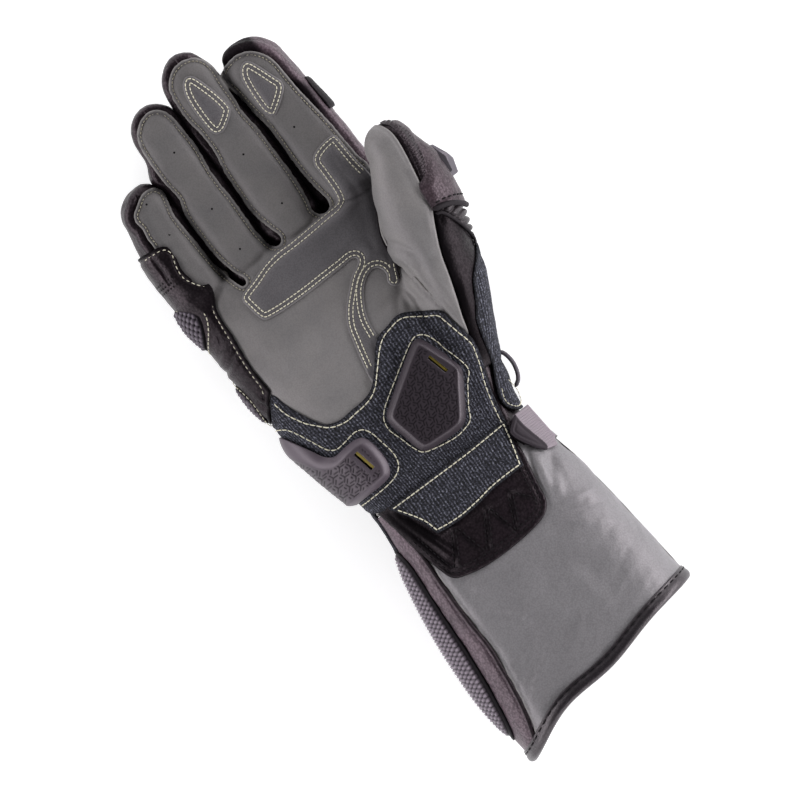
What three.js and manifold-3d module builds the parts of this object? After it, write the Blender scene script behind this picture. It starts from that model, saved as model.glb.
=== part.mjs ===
// A long leather motorcycle glove for the right hand, lying on its back with the palm up.
// Millimetres. +X is the thumb side, +Y runs to the fingertips and +Z is up, away from the floor.
// The tables use the drawing's own zero, a point on the palm; the last group moves it to the middle.
import * as THREE from 'three';
import { mergeVertices } from 'three/addons/utils/BufferGeometryUtils.js';
import Module from 'manifold-3d';

const wasm = await Module();
wasm.setup();

// Driving sizes
const MIDDLE = { x: 9.2, y: 8.2 };
const WALL = 2;
const GAP = 0.3;
const PATCH = 1.4;
const SKY = 90;
const HAND_SIDES = 20;
const FINGER_SIDES = 12;
const THUMB_SIDES = 14;
const TIP_RINGS = 3;
const WRIST_Y = -38;
const KNUCKLE_Y = 93;
const TIP_CLOSE = 0.97;
const SQUARENESS = { hand: 2.4, finger: 2.3, thumb: 2.2 };

// The cuff's hem: how far it reaches along the cuff, stands off the leather and passes the mouth
const HEM = { reach: 6, swell: 0.8, past: 3, inside: 12 };

// The lowest height that each kind of sewn piece reaches on its way down round the side
const WRAP = {
  palm: 20, heel: 14, side: 10, cuffFront: 24, cuffSide: 10, cuffGuard: 12,
  strip: 12, strap: 6, thumb: 22, ribs: 24,
};

// Layers over the leather: the height above it at which each kind of piece starts and stops
const LAYER = {
  patch: { from: 0.35, to: 0.35 + PATCH },
  thinPatch: { from: 0.35, to: 1.35 },
  overPatch: { from: 2.1, to: 3.3 },
  sidePad: { from: 2.1, to: 4.4 },
  sliderFoot: { from: 2.1, to: 4.6 },
  sliderTop: { from: 2.1, to: 6.2 },
  slotFloor: { from: 4.0, to: 9 },
  slotInsert: { from: 4.3, to: 5.4 },
  guard: { from: 0.35, to: 3.6 },
  thumbGuard: { from: 2.1, to: 7.6 },
  rib: { from: 0.35, to: 2.9 },
};

// Tubes: one row for each cross section, with its sides, underside and top.
// lean is how much further along Y the thumb side of a section lies than its other side.
const hand = [
  { y: -42, left: -40, right: 41.5, low: -3, high: 43, lean: 0 },
  { y: -10, left: -46, right: 46.2, low: -3, high: 44, lean: 0 },
  { y: 10, left: -51, right: 51, low: -3, high: 43, lean: 0 },
  { y: 30, left: -54, right: 53, low: -3, high: 41, lean: 0 },
  { y: 50, left: -56, right: 54, low: -3, high: 39, lean: 0 },
  { y: 70, left: -57.4, right: 54, low: -2, high: 36, lean: 1 },
  { y: 83, left: -58.6, right: 53, low: -1, high: 33, lean: 4 },
  { y: 89, left: -59, right: 52.5, low: 0, high: 31, lean: 6 },
];
const cuff = [
  { y: -34, left: -39, right: 41, low: -2.5, high: 42, lean: 0 },
  { y: -50, left: -40, right: 46.3, low: -3, high: 44, lean: 2 },
  { y: -66, left: -42.4, right: 50, low: -3, high: 46, lean: 6 },
  { y: -84, left: -44.6, right: 52.8, low: -3, high: 48, lean: 11 },
  { y: -104, left: -45.9, right: 55.4, low: -3, high: 50, lean: 18 },
  { y: -128, left: -46.2, right: 58.3, low: -3, high: 52, lean: 25 },
  { y: -154, left: -43.6, right: 61, low: -3, high: 53, lean: 29.3 },
];
const thumb = [
  { y: -12, left: 24, right: 45, low: 9, high: 36 },
  { y: 6, left: 27, right: 54, low: 5, high: 43 },
  { y: 26, left: 30.5, right: 63.4, low: 7, high: 48.6 },
  { y: 48, left: 33, right: 70, low: 13, high: 54 },
  { y: 60, left: 35, right: 73, low: 19, high: 56 },
  { y: 72, left: 38.5, right: 74.3, low: 24, high: 57 },
  { y: 84, left: 43.5, right: 73.8, low: 27, high: 56.5 },
  { y: 95, left: 48.8, right: 71.4, low: 30, high: 55.5 },
];
const fingers = {
  little: [
    { y: 70, left: -57, right: -34.5, low: 0, high: 32 },
    { y: 95, left: -59.4, right: -33.7, low: 0, high: 30 },
    { y: 122, left: -60, right: -33.6, low: 3, high: 29.5 },
    { y: 134, left: -58.2, right: -33.3, low: 5, high: 29.5 },
  ],
  ring: [
    { y: 70, left: -31.5, right: -9.5, low: 0, high: 33 },
    { y: 95, left: -32.5, right: -8.5, low: 0, high: 30.5 },
    { y: 135, left: -32.5, right: -8.7, low: 4.5, high: 28.5 },
    { y: 160, left: -32.2, right: -8, low: 8.5, high: 30.5 },
  ],
  middle: [
    { y: 70, left: -6, right: 18.5, low: 0, high: 33.5 },
    { y: 95, left: -6.9, right: 19.4, low: 0, high: 31 },
    { y: 135, left: -7.6, right: 19.6, low: 5, high: 29 },
    { y: 155, left: -7.2, right: 18.3, low: 8, high: 30.5 },
    { y: 169, left: -6.8, right: 17.8, low: 10.5, high: 31.5 },
  ],
  index: [
    { y: 70, left: 23, right: 51.5, low: 0, high: 33 },
    { y: 95, left: 21.9, right: 52.5, low: 0, high: 31 },
    { y: 115, left: 21.2, right: 51.8, low: 2, high: 29.5 },
    { y: 135, left: 20.8, right: 50.4, low: 4.5, high: 29.5 },
    { y: 150, left: 19.5, right: 49, low: 7, high: 30.5 },
    { y: 160, left: 19, right: 47.6, low: 8.5, high: 31 },
  ],
};
const tips = {
  little: { x: -46, y: 146.2, z: 17.5 },
  ring: { x: -19.6, y: 174.5, z: 20.5 },
  middle: { x: 5.2, y: 185.2, z: 22 },
  index: { x: 30.5, y: 175.5, z: 20.5 },
  thumb: { x: 60.3, y: 108, z: 43.5 },
};

// Where the grey front meets the dark backs: the height of the seam along each edge of the fingers
const seamColumns = { outer: -66, littleRing: -33, ringMiddle: -8, middleIndex: 20, inner: 50 };
const seam = [
  { y: -45, outer: 30, littleRing: 30, ringMiddle: 30, middleIndex: 30, inner: 30 },
  { y: 60, outer: 27, littleRing: 27, ringMiddle: 27, middleIndex: 27, inner: 27 },
  { y: 93, outer: 26, littleRing: 22, ringMiddle: 22, middleIndex: 22, inner: 26 },
  { y: 130, outer: 28, littleRing: 22, ringMiddle: 22, middleIndex: 23, inner: 27 },
  { y: 190, outer: 30, littleRing: 25, ringMiddle: 26, middleIndex: 26, inner: 28 },
];

// Outlines seen from above
const heelOutline = [
  [-70, 21.5], [-55.5, 21.5], [-49.5, 30], [-45, 34.5], [-39.8, 20], [-34.4, 10.9], [-27, 7.9],
  [-9.5, 10.3], [-2.3, 17], [5, 26], [12, 29.6], [22, 31.6], [36, 24.5], [39.2, 17.5], [42.4, 4],
  [39, -10], [35.5, -21], [32.6, -36.4], [-70, -36.4],
];
const gripOutline = [
  [-32, 78.5], [-22.6, 82], [-12, 85.5], [0, 86.4], [27.4, 88.2], [29.3, 91], [29.3, 107], [31, 112.4],
  [36, 114.4], [44, 115.2], [46.2, 100], [47.6, 94], [52, 92], [46, 82], [39, 68], [34, 54], [32, 46],
  [29.5, 44], [28, 46], [28.3, 53], [25, 57.8], [21, 57.3], [14, 53], [8.6, 46.4], [5.4, 36],
  [4.6, 20], [-6, 12], [-4.2, 25], [-1, 40], [3, 47], [8, 53], [18, 60.5], [20.5, 63.5], [19.5, 65.2],
  [-5, 62.8], [-28, 63], [-30.6, 65], [-33, 72],
];
const indexTipOutline = [
  [27, 164.5], [24.2, 158.4], [24.4, 144], [28.3, 138.4], [39.8, 146], [38.7, 151.6], [31, 163.8],
];
const middleTipOutline = [[3.8, 174.4], [12.9, 154.6], [12.2, 150.6], [2.5, 144.6], [-0.8, 149], [-1.2, 166]];
const sideOutline = [
  [-70, 120], [-50, 118.5], [-46, 115], [-46, 106], [-46.5, 101], [-42, 95], [-40.5, 91], [-41.5, 86],
  [-44.5, 78], [-44.5, 68], [-46, 50], [-45.6, 36.2], [-49.9, 31], [-55.9, 22.2], [-70, 22.2],
];
const outerSliderOutline = [
  [-70, 20], [-53.4, 18.6], [-48.3, 11.5], [-44, 4],
  [-40.5, -1.5], [-36.5, -3.6], [-25, -3.3], [-21.3, -6.4],
  [-20.2, -14], [-20.8, -21], [-24, -25.2], [-32, -26.6], [-70, -27],
];
const innerSliderOutline = [
  [19.5, 17.2], [23, 15.8], [30.3, -1.5], [30, -4.5], [18.2, -24],
  [15, -26], [-3, -25.6], [-5.5, -23], [-9.8, -6], [-8.6, -2.6],
];
const flapOutline = [
  [-33.5, -37.2], [31.8, -37.2], [31.4, -52], [29.4, -66.4],
  [28.2, -74], [22.5, -79.6], [4.4, -83], [-13, -82.8],
  [-25, -79.8], [-28.7, -72.6], [-31, -64],
];
const flapClothOutline = [
  [-30.6, -37.8], [31.2, -37.4], [29.8, -48], [27.9, -56],
  [11, -57.2], [-6.7, -59.7], [-20, -58.5], [-25.2, -49],
];
const cuffGuardOutline = [
  [-70, -57], [-41, -54.5], [-38.6, -63], [-38.6, -80], [-39.7, -110],
  [-41.2, -132], [-44, -151], [-48, -157], [-70, -157],
];
const cuffFrontEdge = [
  [90, -37], [-36, -37], [-30.6, -62], [-30.6, -100], [-29.8, -113],
  [-31, -130], [-34.6, -152], [-38, -175], [90, -175],
];
const thumbFrontEdge = [
  [0, 115], [60, 115], [64.6, 105.6], [65.7, 97.8], [65, 88],
  [62.7, 77.2], [61.6, 65], [55.8, 52.2], [50.6, 33.2],
  [44.9, 16.5], [40.5, -2], [38, -15], [0, -15],
];
const thumbCoverOutline = [
  [61.2, 62.4], [63.4, 72], [66.6, 77], [70.2, 83.7], [71.2, 90],
  [70.4, 96.8], [67.6, 103], [90, 103], [90, 50.4],
  [77, 53.2], [71.6, 58.6],
];
const thumbRibsOutline = [
  [64.5, 60.4], [71, 58], [76.5, 52.6], [90, 49.8], [90, 45], [69.8, 44.4], [67.6, 50],
];
const stripOutline = [
  [90, 44], [69, 43.4], [67.7, 39.6], [64.2, 34], [57.2, 26.3],
  [52.3, 17.2], [48.1, 10.2], [45.3, 1], [42.5, -8.1],
  [39.2, -16.5], [36.9, -24], [37.2, -29.5], [39.6, -33.4], [43, -34.4], [90, -34.4],
];
const strapOutline = [[33, -37.2], [90, -37.2], [90, -53.6], [39.5, -53.6], [33, -44]];
const tabOutline = [
  [37, -36.6], [35.3, -39.4], [38.9, -47.4], [41.4, -55.6], [46.7, -57.2], [60, -52], [60, -36.6],
];

// A closed solid of the joining library from a closed geometry
function solid(geometry) {
  geometry.deleteAttribute('normal');
  geometry.deleteAttribute('uv');
  const merged = mergeVertices(geometry, 1e-4);
  return new wasm.Manifold(new wasm.Mesh({
    numProp: 3,
    vertProperties: merged.attributes.position.array,
    triVerts: new Uint32Array(merged.index.array),
  }));
}

// Triangles between rings of equal length, with a fan over each end; the rings run anticlockwise
// as seen from the end that the list stops at
function skinOver(rings) {
  const count = rings[0].length;
  const points = rings.flat();
  const index = [];
  for (let r = 0; r + 1 < rings.length; r++) {
    for (let k = 0; k < count; k++) {
      const a = r * count + k;
      const b = r * count + (k + 1) % count;
      index.push(a, b, b + count, a, b + count, a + count);
    }
  }
  const middleOf = (ring) => ring.reduce((sum, p) => sum.add(p), new THREE.Vector3()).divideScalar(count);
  const first = points.push(middleOf(rings[0])) - 1;
  const last = points.push(middleOf(rings.at(-1))) - 1;
  const top = (rings.length - 1) * count;
  for (let k = 0; k < count; k++) {
    index.push(first, (k + 1) % count, k);
    index.push(last, top + k, top + (k + 1) % count);
  }
  const geometry = new THREE.BufferGeometry().setFromPoints(points);
  geometry.setIndex(index);
  return geometry;
}

// Rings that round a tube off: its last section shrinks like a quarter of an ellipse up to the tip
function withTip(rows, tip) {
  const end = rows.at(-1);
  const rounded = Array.from({ length: TIP_RINGS }, (_, k) => {
    const turn = (k + 1) / TIP_RINGS * Math.PI / 2 * TIP_CLOSE;
    const size = Math.cos(turn);
    const along = Math.sin(turn);
    const between = (value, target) => target + (value - target) * size;
    return {
      round: true,
      y: end.y + (tip.y - end.y) * along,
      left: between(end.left, tip.x),
      right: between(end.right, tip.x),
      low: between(end.low, tip.z),
      high: between(end.high, tip.z),
    };
  });
  return [...rows, ...rounded];
}

// One tube: every section is a rounded rectangle that follows |x/a|^n + |z/b|^n = 1.
// Each point then moves by grow along the surface normal, a flat end moves out by as much,
// and nothing reaches below the floor.
function tube(rows, sides, squareness, grow) {
  const rings = rows.map((row) => Array.from({ length: sides }, (_, k) => {
    const angle = (k + 0.5) / sides * 2 * Math.PI;
    const bulge = (t) => Math.sign(t) * Math.abs(t) ** (2 / squareness);
    const across = bulge(Math.cos(angle));
    return new THREE.Vector3(
      (row.left + row.right) / 2 + (row.right - row.left) / 2 * across,
      row.y + (row.lean ?? 0) / 2 * across,
      (row.low + row.high) / 2 + (row.high - row.low) / 2 * bulge(Math.sin(angle)),
    );
  }));
  const grown = rings.map((ring, r) => ring.map((point, k) => {
    const before = rings[Math.max(r - 1, 0)][k];
    const after = rings[Math.min(r + 1, rings.length - 1)][k];
    const along = after.clone().sub(before);
    const around = ring[(k + 1) % sides].clone().sub(ring[(k + sides - 1) % sides]);
    const normal = along.cross(around).normalize();
    const moved = point.clone().addScaledVector(normal, grow);
    const atEnd = (r === 0 || r === rings.length - 1) && !rows[r].round;
    if (atEnd) moved.y += Math.sign(point.y - rings[Math.abs(r - 1)][k].y) * grow;
    moved.z = Math.max(moved.z, -grow);
    return moved;
  }));
  return solid(skinOver(grown.map((ring) => ring.toReversed())));
}

// The outside of the hand, the fingers and the cuff, moved out by grow; reach lengthens the mouth
function handHull(grow, reach = 0) {
  const mouth = cuff.at(-1);
  const cuffRows = reach ? [...cuff, { ...mouth, y: mouth.y - reach }] : cuff;
  const parts = [cuffRows.toReversed(), hand].map((rows) => tube(rows, HAND_SIDES, SQUARENESS.hand, grow));
  for (const [name, rows] of Object.entries(fingers)) {
    parts.push(tube(withTip(rows, tips[name]), FINGER_SIDES, SQUARENESS.finger, grow));
  }
  return wasm.Manifold.union(parts);
}

function thumbHull(grow) {
  return tube(withTip(thumb, tips.thumb), THUMB_SIDES, SQUARENESS.thumb, grow);
}

function hull(grow, reach = 0) {
  return handHull(grow, reach).add(thumbHull(grow));
}

// The layer between two distances from the leather, over the whole glove or the hand alone
const layers = new Map();
function layer({ from, to }, surface = hull) {
  const key = `${surface.name} ${from} ${to}`;
  if (!layers.has(key)) layers.set(key, surface(to).subtract(surface(from)));
  return layers.get(key);
}

// An upright prism over an outline
function prism(outline, low = 0, high = SKY) {
  const shape = new THREE.Shape(outline.map(([x, y]) => new THREE.Vector2(x, y)));
  const geometry = new THREE.ExtrudeGeometry(shape, { depth: high - low, bevelEnabled: false });
  return solid(geometry.translate(0, 0, low));
}

// The outline moved inwards by a distance, corner by corner
function inset(outline, distance) {
  const clockwise = THREE.ShapeUtils.isClockWise(outline.map(([x, y]) => new THREE.Vector2(x, y)));
  const side = clockwise ? -distance : distance;
  return outline.map(([x, y], k) => {
    const [px, py] = outline.at(k - 1);
    const [nx, ny] = outline[(k + 1) % outline.length];
    const into = new THREE.Vector2(x - px, y - py).normalize();
    const out = new THREE.Vector2(nx - x, ny - y).normalize();
    const normal = new THREE.Vector2(-into.y - out.y, into.x + out.x).normalize();
    const spread = Math.max(0.4, normal.dot(new THREE.Vector2(-into.y, into.x)));
    return [x + normal.x * side / spread, y + normal.y * side / spread];
  });
}

// Everything above a surface that is given by heights at crossing lines in X and Y
function above(columns, rows, drop = 0) {
  const names = Object.keys(columns);
  const levelAt = (row, name) => new THREE.Vector3(columns[name], row.y, row[name] - drop);
  const levels = rows.map((row) => names.map((name) => levelAt(row, name)));
  const rings = levels.map((line) => [
    ...line,
    new THREE.Vector3(line.at(-1).x, line[0].y, SKY),
    new THREE.Vector3(line[0].x, line[0].y, SKY),
  ]);
  const made = solid(skinOver(rings));
  return made.volume() > 0 ? made : solid(skinOver(rings.map((ring) => ring.toReversed())));
}

function wideSeam(drop = 0) {
  const wide = { far: -90, ...seamColumns, near: 90 };
  return above(wide, seam.map((row) => ({ ...row, far: row.outer, near: row.inner })), drop);
}

// The thumb's side seam climbs with the thumb
function thumbSeam(drop = 0) {
  const rows = [{ y: -20, left: 21, right: 21 }, { y: 115, left: 44, right: 44 }];
  return above({ left: 0, right: 100 }, rows, drop);
}

// Half of the plan on one side of a line across the glove at a given Y, tilted by lean across the cuff
function beyond(y, slope = 0) {
  const reach = 120;
  const half = [[-reach, y - slope * reach], [reach, y + slope * reach], [reach, 300], [-reach, 300]];
  return prism(half, -20, SKY + 20);
}

function box(low, high) {
  const size = high.map((value, axis) => value - low[axis]);
  const middle = high.map((value, axis) => (value + low[axis]) / 2);
  return solid(new THREE.BoxGeometry(...size).translate(...middle));
}

// A rounded plug along X, used for the pads on the little-finger side
function ovalAlongX({ y, z, halfLength, halfHeight }) {
  const shape = new THREE.Shape();
  shape.absellipse(0, 0, halfLength, halfHeight, 0, 2 * Math.PI);
  const geometry = new THREE.ExtrudeGeometry(shape, { depth: 40, bevelEnabled: false, curveSegments: 7 });
  geometry.rotateX(Math.PI / 2).rotateZ(Math.PI / 2);
  return solid(geometry.translate(-85, y, z));
}

const colours = {
  grey: { color: 0x696769, roughness: 0.55, metalness: 0 },
  black: { color: 0x2a2327, roughness: 0.5, metalness: 0 },
  cloth: { color: 0x2c2d3a, roughness: 0.9, metalness: 0 },
  plastic: { color: 0x463e46, roughness: 0.45, metalness: 0 },
  olive: { color: 0x5a5018, roughness: 0.6, metalness: 0 },
  tab: { color: 0x8a7c84, roughness: 0.6, metalness: 0 },
};

const glove = new THREE.Group();
glove.position.set(-MIDDLE.x, -MIDDLE.y, 0);

// Adds one piece; crumbs that a cut leaves beside it are dropped
function piece(name, made, finish) {
  const body = made.decompose().reduce((best, one) => (one.volume() > best.volume() ? one : best));
  const mesh = body.getMesh();
  const geometry = new THREE.BufferGeometry();
  geometry.setAttribute('position', new THREE.BufferAttribute(mesh.vertProperties, 3));
  geometry.setIndex(new THREE.BufferAttribute(mesh.triVerts, 1));
  geometry.computeVertexNormals();
  const placed = new THREE.Mesh(geometry, new THREE.MeshStandardMaterial(colours[finish]));
  placed.name = name;
  glove.add(placed);
}

// The leather walls
const mouthSlope = cuff.at(-1).lean / (cuff.at(-1).right - cuff.at(-1).left);
const mouthMiddle = (cuff.at(-1).left + cuff.at(-1).right) / 2;
const mouthAt = (offset) => cuff.at(-1).y + offset - mouthSlope * mouthMiddle;
const insides = hull(-WALL, HEM.inside);
const walls = hull(0).subtract(insides);
const thumbSpace = thumbHull(GAP);
const handWalls = walls.intersect(beyond(WRIST_Y)).subtract(thumbSpace);
const thumbWalls = walls.intersect(thumbHull(0));
const cuffWalls = walls.subtract(beyond(WRIST_Y - GAP)).intersect(beyond(mouthAt(HEM.reach), mouthSlope));

const backs = handWalls.subtract(wideSeam(GAP));
piece('palm_leather', handWalls.intersect(wideSeam()), 'grey');
piece('hand_back', backs.subtract(beyond(KNUCKLE_Y)), 'black');
const fingerLanes = { little: [-80, -33.1], ring: [-33.1, -8], middle: [-8, 20.4], index: [20.4, 70] };
for (const [name, [from, to]] of Object.entries(fingerLanes)) {
  const lane = prism([[from, KNUCKLE_Y + GAP], [to, KNUCKLE_Y + GAP], [to, 200], [from, 200]], -20);
  piece(`${name}_back`, backs.intersect(lane), 'black');
}

const thumbFront = prism(inset(thumbFrontEdge, GAP / 2), -20).intersect(thumbSeam());
const thumbDark = thumbWalls.subtract(prism(inset(thumbFrontEdge, -GAP / 2), -20).intersect(thumbSeam(GAP)));
piece('thumb_leather', thumbWalls.intersect(thumbFront), 'grey');
piece('thumb_back', thumbDark, 'black');

const sideOfCuff = (low) => box([-90, -200, low], [-20, 0, SKY]);
const cuffFrontSpace = prism(inset(cuffFrontEdge, GAP / 2), WRAP.cuffFront);
const cuffFrontKeep = prism(inset(cuffFrontEdge, -GAP / 2), WRAP.cuffFront - GAP);
const cuffDark = cuffWalls.subtract(cuffFrontKeep);
piece('cuff_front', cuffWalls.intersect(cuffFrontSpace), 'grey');
piece('cuff_side', cuffDark.intersect(sideOfCuff(WRAP.cuffSide)), 'black');
piece('cuff_back', cuffDark.subtract(sideOfCuff(WRAP.cuffSide - GAP)), 'black');

const hemWall = hull(HEM.swell, HEM.past).subtract(hull(-WALL - HEM.swell, HEM.inside));
const hemSpace = beyond(mouthAt(0), mouthSlope).subtract(beyond(mouthAt(HEM.reach - GAP), mouthSlope));
const aboveFloor = box([-90, -200, 0], [90, 0, SKY]);
piece('cuff_binding', hemWall.intersect(hemSpace).intersect(aboveFloor), 'black');

// Leather and cloth sewn on the palm
const overLeather = (kind, outline, low, surface) => {
  const shell = layer(LAYER[kind], surface);
  return shell.intersect(prism(outline, low));
};
const THUMB_CLEAR = 1.2;
const grip = overLeather('patch', gripOutline, WRAP.palm, handHull);
piece('grip_patch', grip.subtract(thumbHull(THUMB_CLEAR)).subtract(prism(heelOutline)), 'grey');
piece('index_tip_patch', overLeather('thinPatch', indexTipOutline, WRAP.palm, handHull), 'grey');
piece('middle_tip_patch', overLeather('thinPatch', middleTipOutline, WRAP.palm, handHull), 'grey');
piece('heel_patch', overLeather('patch', inset(heelOutline, GAP), WRAP.heel), 'cloth');

// The little-finger side
piece('side_panel', overLeather('patch', inset(sideOutline, GAP), WRAP.side, handHull), 'black');
const sidePads = {
  upper: { y: 80, z: 21, halfLength: 11.5, halfHeight: 10 },
  lower: { y: 37, z: 23, halfLength: 10.5, halfHeight: 10 },
};
for (const [name, pad] of Object.entries(sidePads)) {
  piece(`side_pad_${name}`, layer(LAYER.sidePad, handHull).intersect(ovalAlongX(pad)), 'plastic');
}

// The palm sliders: a foot, a smaller raised top, and a slot with an insert on its floor
const SLIDER_LOW = 12;
const SLIDER_STEP = 1.4;
const sliders = {
  outer: { outline: outerSliderOutline, slot: { x: -27.4, y: -12.8, turn: 0.24, length: 10, width: 2.1 } },
  inner: { outline: innerSliderOutline, slot: { x: 22.5, y: 3.3, turn: 0.27, length: 10.2, width: 1.8 } },
};
for (const [name, { outline, slot }] of Object.entries(sliders)) {
  const bar = (clear) => solid(new THREE.BoxGeometry(slot.width - 2 * clear, slot.length - 2 * clear, SKY)
    .rotateZ(slot.turn).translate(slot.x, slot.y, SKY / 2 + WRAP.palm));
  const foot = overLeather('sliderFoot', outline, SLIDER_LOW);
  const top = overLeather('sliderTop', inset(outline, SLIDER_STEP), SLIDER_LOW + SLIDER_STEP);
  piece(`${name}_slider`, foot.add(top).subtract(layer(LAYER.slotFloor).intersect(bar(0))), 'plastic');
  piece(`${name}_slot_insert`, layer(LAYER.slotInsert).intersect(bar(GAP)), 'olive');
}

// The flap over the wrist
piece('flap_leather', overLeather('patch', flapOutline, WRAP.palm), 'black');
piece('flap_cloth', overLeather('overPatch', flapClothOutline, WRAP.palm), 'cloth');

// The cuff's side guard
piece('cuff_guard', overLeather('guard', cuffGuardOutline, WRAP.cuffGuard, handHull), 'plastic');

// The thumb: cover over its back, moulded guard, stretch ribs and woven strip
piece('thumb_cover', overLeather('patch', thumbCoverOutline, WRAP.thumb, thumbHull), 'black');
const guardOutline = [[68, 31], [70, 27], [83, 27], [86, 33], [85, 45], [70, 45], [68, 41]];
const guardSpace = { from: 64, to: 89 };
const guardShape = new THREE.Shape(guardOutline.map(([y, z]) => new THREE.Vector2(y, z)));
const guardDepth = { depth: guardSpace.to - guardSpace.from, bevelEnabled: false };
const guardBlock = new THREE.ExtrudeGeometry(guardShape, guardDepth)
  .rotateX(Math.PI / 2).rotateZ(Math.PI / 2).translate(guardSpace.from, 0, 0);
piece('thumb_guard', layer(LAYER.thumbGuard, thumbHull).intersect(solid(guardBlock)), 'plastic');
const ribsOutline = inset(thumbRibsOutline, GAP);
const ribRow = { count: 4, first: 48, pitch: 3.2, width: 1.8, from: 60, to: 90, fall: 4 };
const ribs = Array.from({ length: ribRow.count }, (_, k) => {
  const y = ribRow.first + ribRow.pitch * k;
  const farY = y - ribRow.fall;
  const nearEnd = [[ribRow.from, y + ribRow.width], [ribRow.from, y]];
  const farEnd = [[ribRow.to, farY], [ribRow.to, farY + ribRow.width]];
  return prism([...nearEnd, ...farEnd]);
});
const ridges = overLeather('rib', ribsOutline, WRAP.ribs, thumbHull).intersect(wasm.Manifold.union(ribs));
piece('thumb_ribs', overLeather('patch', ribsOutline, WRAP.ribs, thumbHull).add(ridges), 'black');
piece('thumb_strip', overLeather('patch', inset(stripOutline, GAP), WRAP.strip), 'cloth');

// The wrist strap with its tab, the pull loop, and the edge of the index finger's guard
piece('wrist_strap', overLeather('patch', strapOutline, WRAP.strap), 'black');
piece('strap_tab', overLeather('overPatch', tabOutline, WRAP.thumb), 'tab');
const loopPath = new THREE.CatmullRomCurve3([
  new THREE.Vector3(49.6, -8.6, 24), new THREE.Vector3(51, -10.4, 24.5), new THREE.Vector3(51.4, -14.5, 25),
  new THREE.Vector3(50.8, -19, 25), new THREE.Vector3(49.2, -23, 24.5), new THREE.Vector3(46.9, -24.4, 24),
]);
const LOOP_RADIUS = 0.9;
const loopSection = new THREE.Shape();
loopSection.absellipse(0, 0, LOOP_RADIUS, LOOP_RADIUS, 0, 2 * Math.PI);
const loopForm = { steps: 9, extrudePath: loopPath, bevelEnabled: false, curveSegments: 4 };
piece('strap_loop', solid(new THREE.ExtrudeGeometry(loopSection, loopForm)), 'black');
const indexGuardOutline = [[45, 143], [51.5, 143], [60, 129], [60, 127], [45, 127]];
const indexGuardSpace = prism(indexGuardOutline, 8, 24);
piece('index_side_guard', layer(LAYER.guard, handHull).intersect(indexGuardSpace), 'black');

const root = new THREE.Group();
root.add(glove);
export default root;
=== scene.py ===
"""A long leather motorcycle glove for the right hand, lying on its back with the palm up.

Shapes are worked out in millimetres round the drawing's own zero, a point on the palm: +X is the thumb side,
+Y runs to the fingertips and +Z is up. Each mesh is written in metres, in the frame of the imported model.
"""
import math
import bmesh
import bpy
import numpy as np
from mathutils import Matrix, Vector


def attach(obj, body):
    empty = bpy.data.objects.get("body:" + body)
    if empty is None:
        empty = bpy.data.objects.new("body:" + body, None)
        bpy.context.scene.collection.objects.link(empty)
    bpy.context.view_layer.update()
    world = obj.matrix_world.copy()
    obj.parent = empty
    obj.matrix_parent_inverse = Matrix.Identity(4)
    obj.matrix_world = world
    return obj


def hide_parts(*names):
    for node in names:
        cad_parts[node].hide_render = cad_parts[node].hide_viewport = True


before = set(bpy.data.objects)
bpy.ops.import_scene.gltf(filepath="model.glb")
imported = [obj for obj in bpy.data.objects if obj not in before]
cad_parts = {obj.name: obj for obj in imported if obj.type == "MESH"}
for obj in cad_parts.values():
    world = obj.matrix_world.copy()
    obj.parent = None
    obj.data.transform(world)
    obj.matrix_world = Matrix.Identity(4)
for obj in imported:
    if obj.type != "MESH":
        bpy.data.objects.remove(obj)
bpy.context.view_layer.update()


# Palm leather
# The grey front of the palm and the four fingers is one cut of smooth goatskin, 1 mm thick. Its raw edge is
# sewn over the dark sides of the fingers, so it stands up as a thin lip, with the seam sunk just inside it.
ZERO = np.array([9.2, 8.2, 0.0])
MM = 0.001
LEATHER = 1.0
FINGER_SEAM = 1.7

# Sections of the hand and cuff, which are empty inside: y, left, right, underside, top, and how far further
# along Y the thumb side of the section lies than the other side
BODY_ROWS = np.array([
    [-154, -43.6, 61.0, -3.0, 53.0, 29.3],
    [-128, -46.2, 58.3, -3.0, 52.0, 25.0],
    [-104, -45.9, 55.4, -3.0, 50.0, 18.0],
    [-84, -44.6, 52.8, -3.0, 48.0, 11.0],
    [-66, -42.4, 50.0, -3.0, 46.0, 6.0],
    [-50, -40.0, 46.3, -3.0, 44.0, 2.0],
    [-36, -39.6, 42.2, -3.0, 42.8, 0.0],
    [-10, -46.0, 46.2, -3.0, 44.0, 0.0],
    [10, -51.0, 51.0, -3.0, 43.0, 0.0],
    [30, -54.0, 53.0, -3.0, 41.0, 0.0],
    [50, -56.0, 54.0, -3.0, 39.0, 0.0],
    [70, -57.4, 54.0, -2.0, 36.0, 1.0],
    [83, -58.6, 53.0, -1.0, 33.0, 4.0],
    [89, -59.0, 52.5, 0.0, 31.0, 6.0],
])
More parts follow.
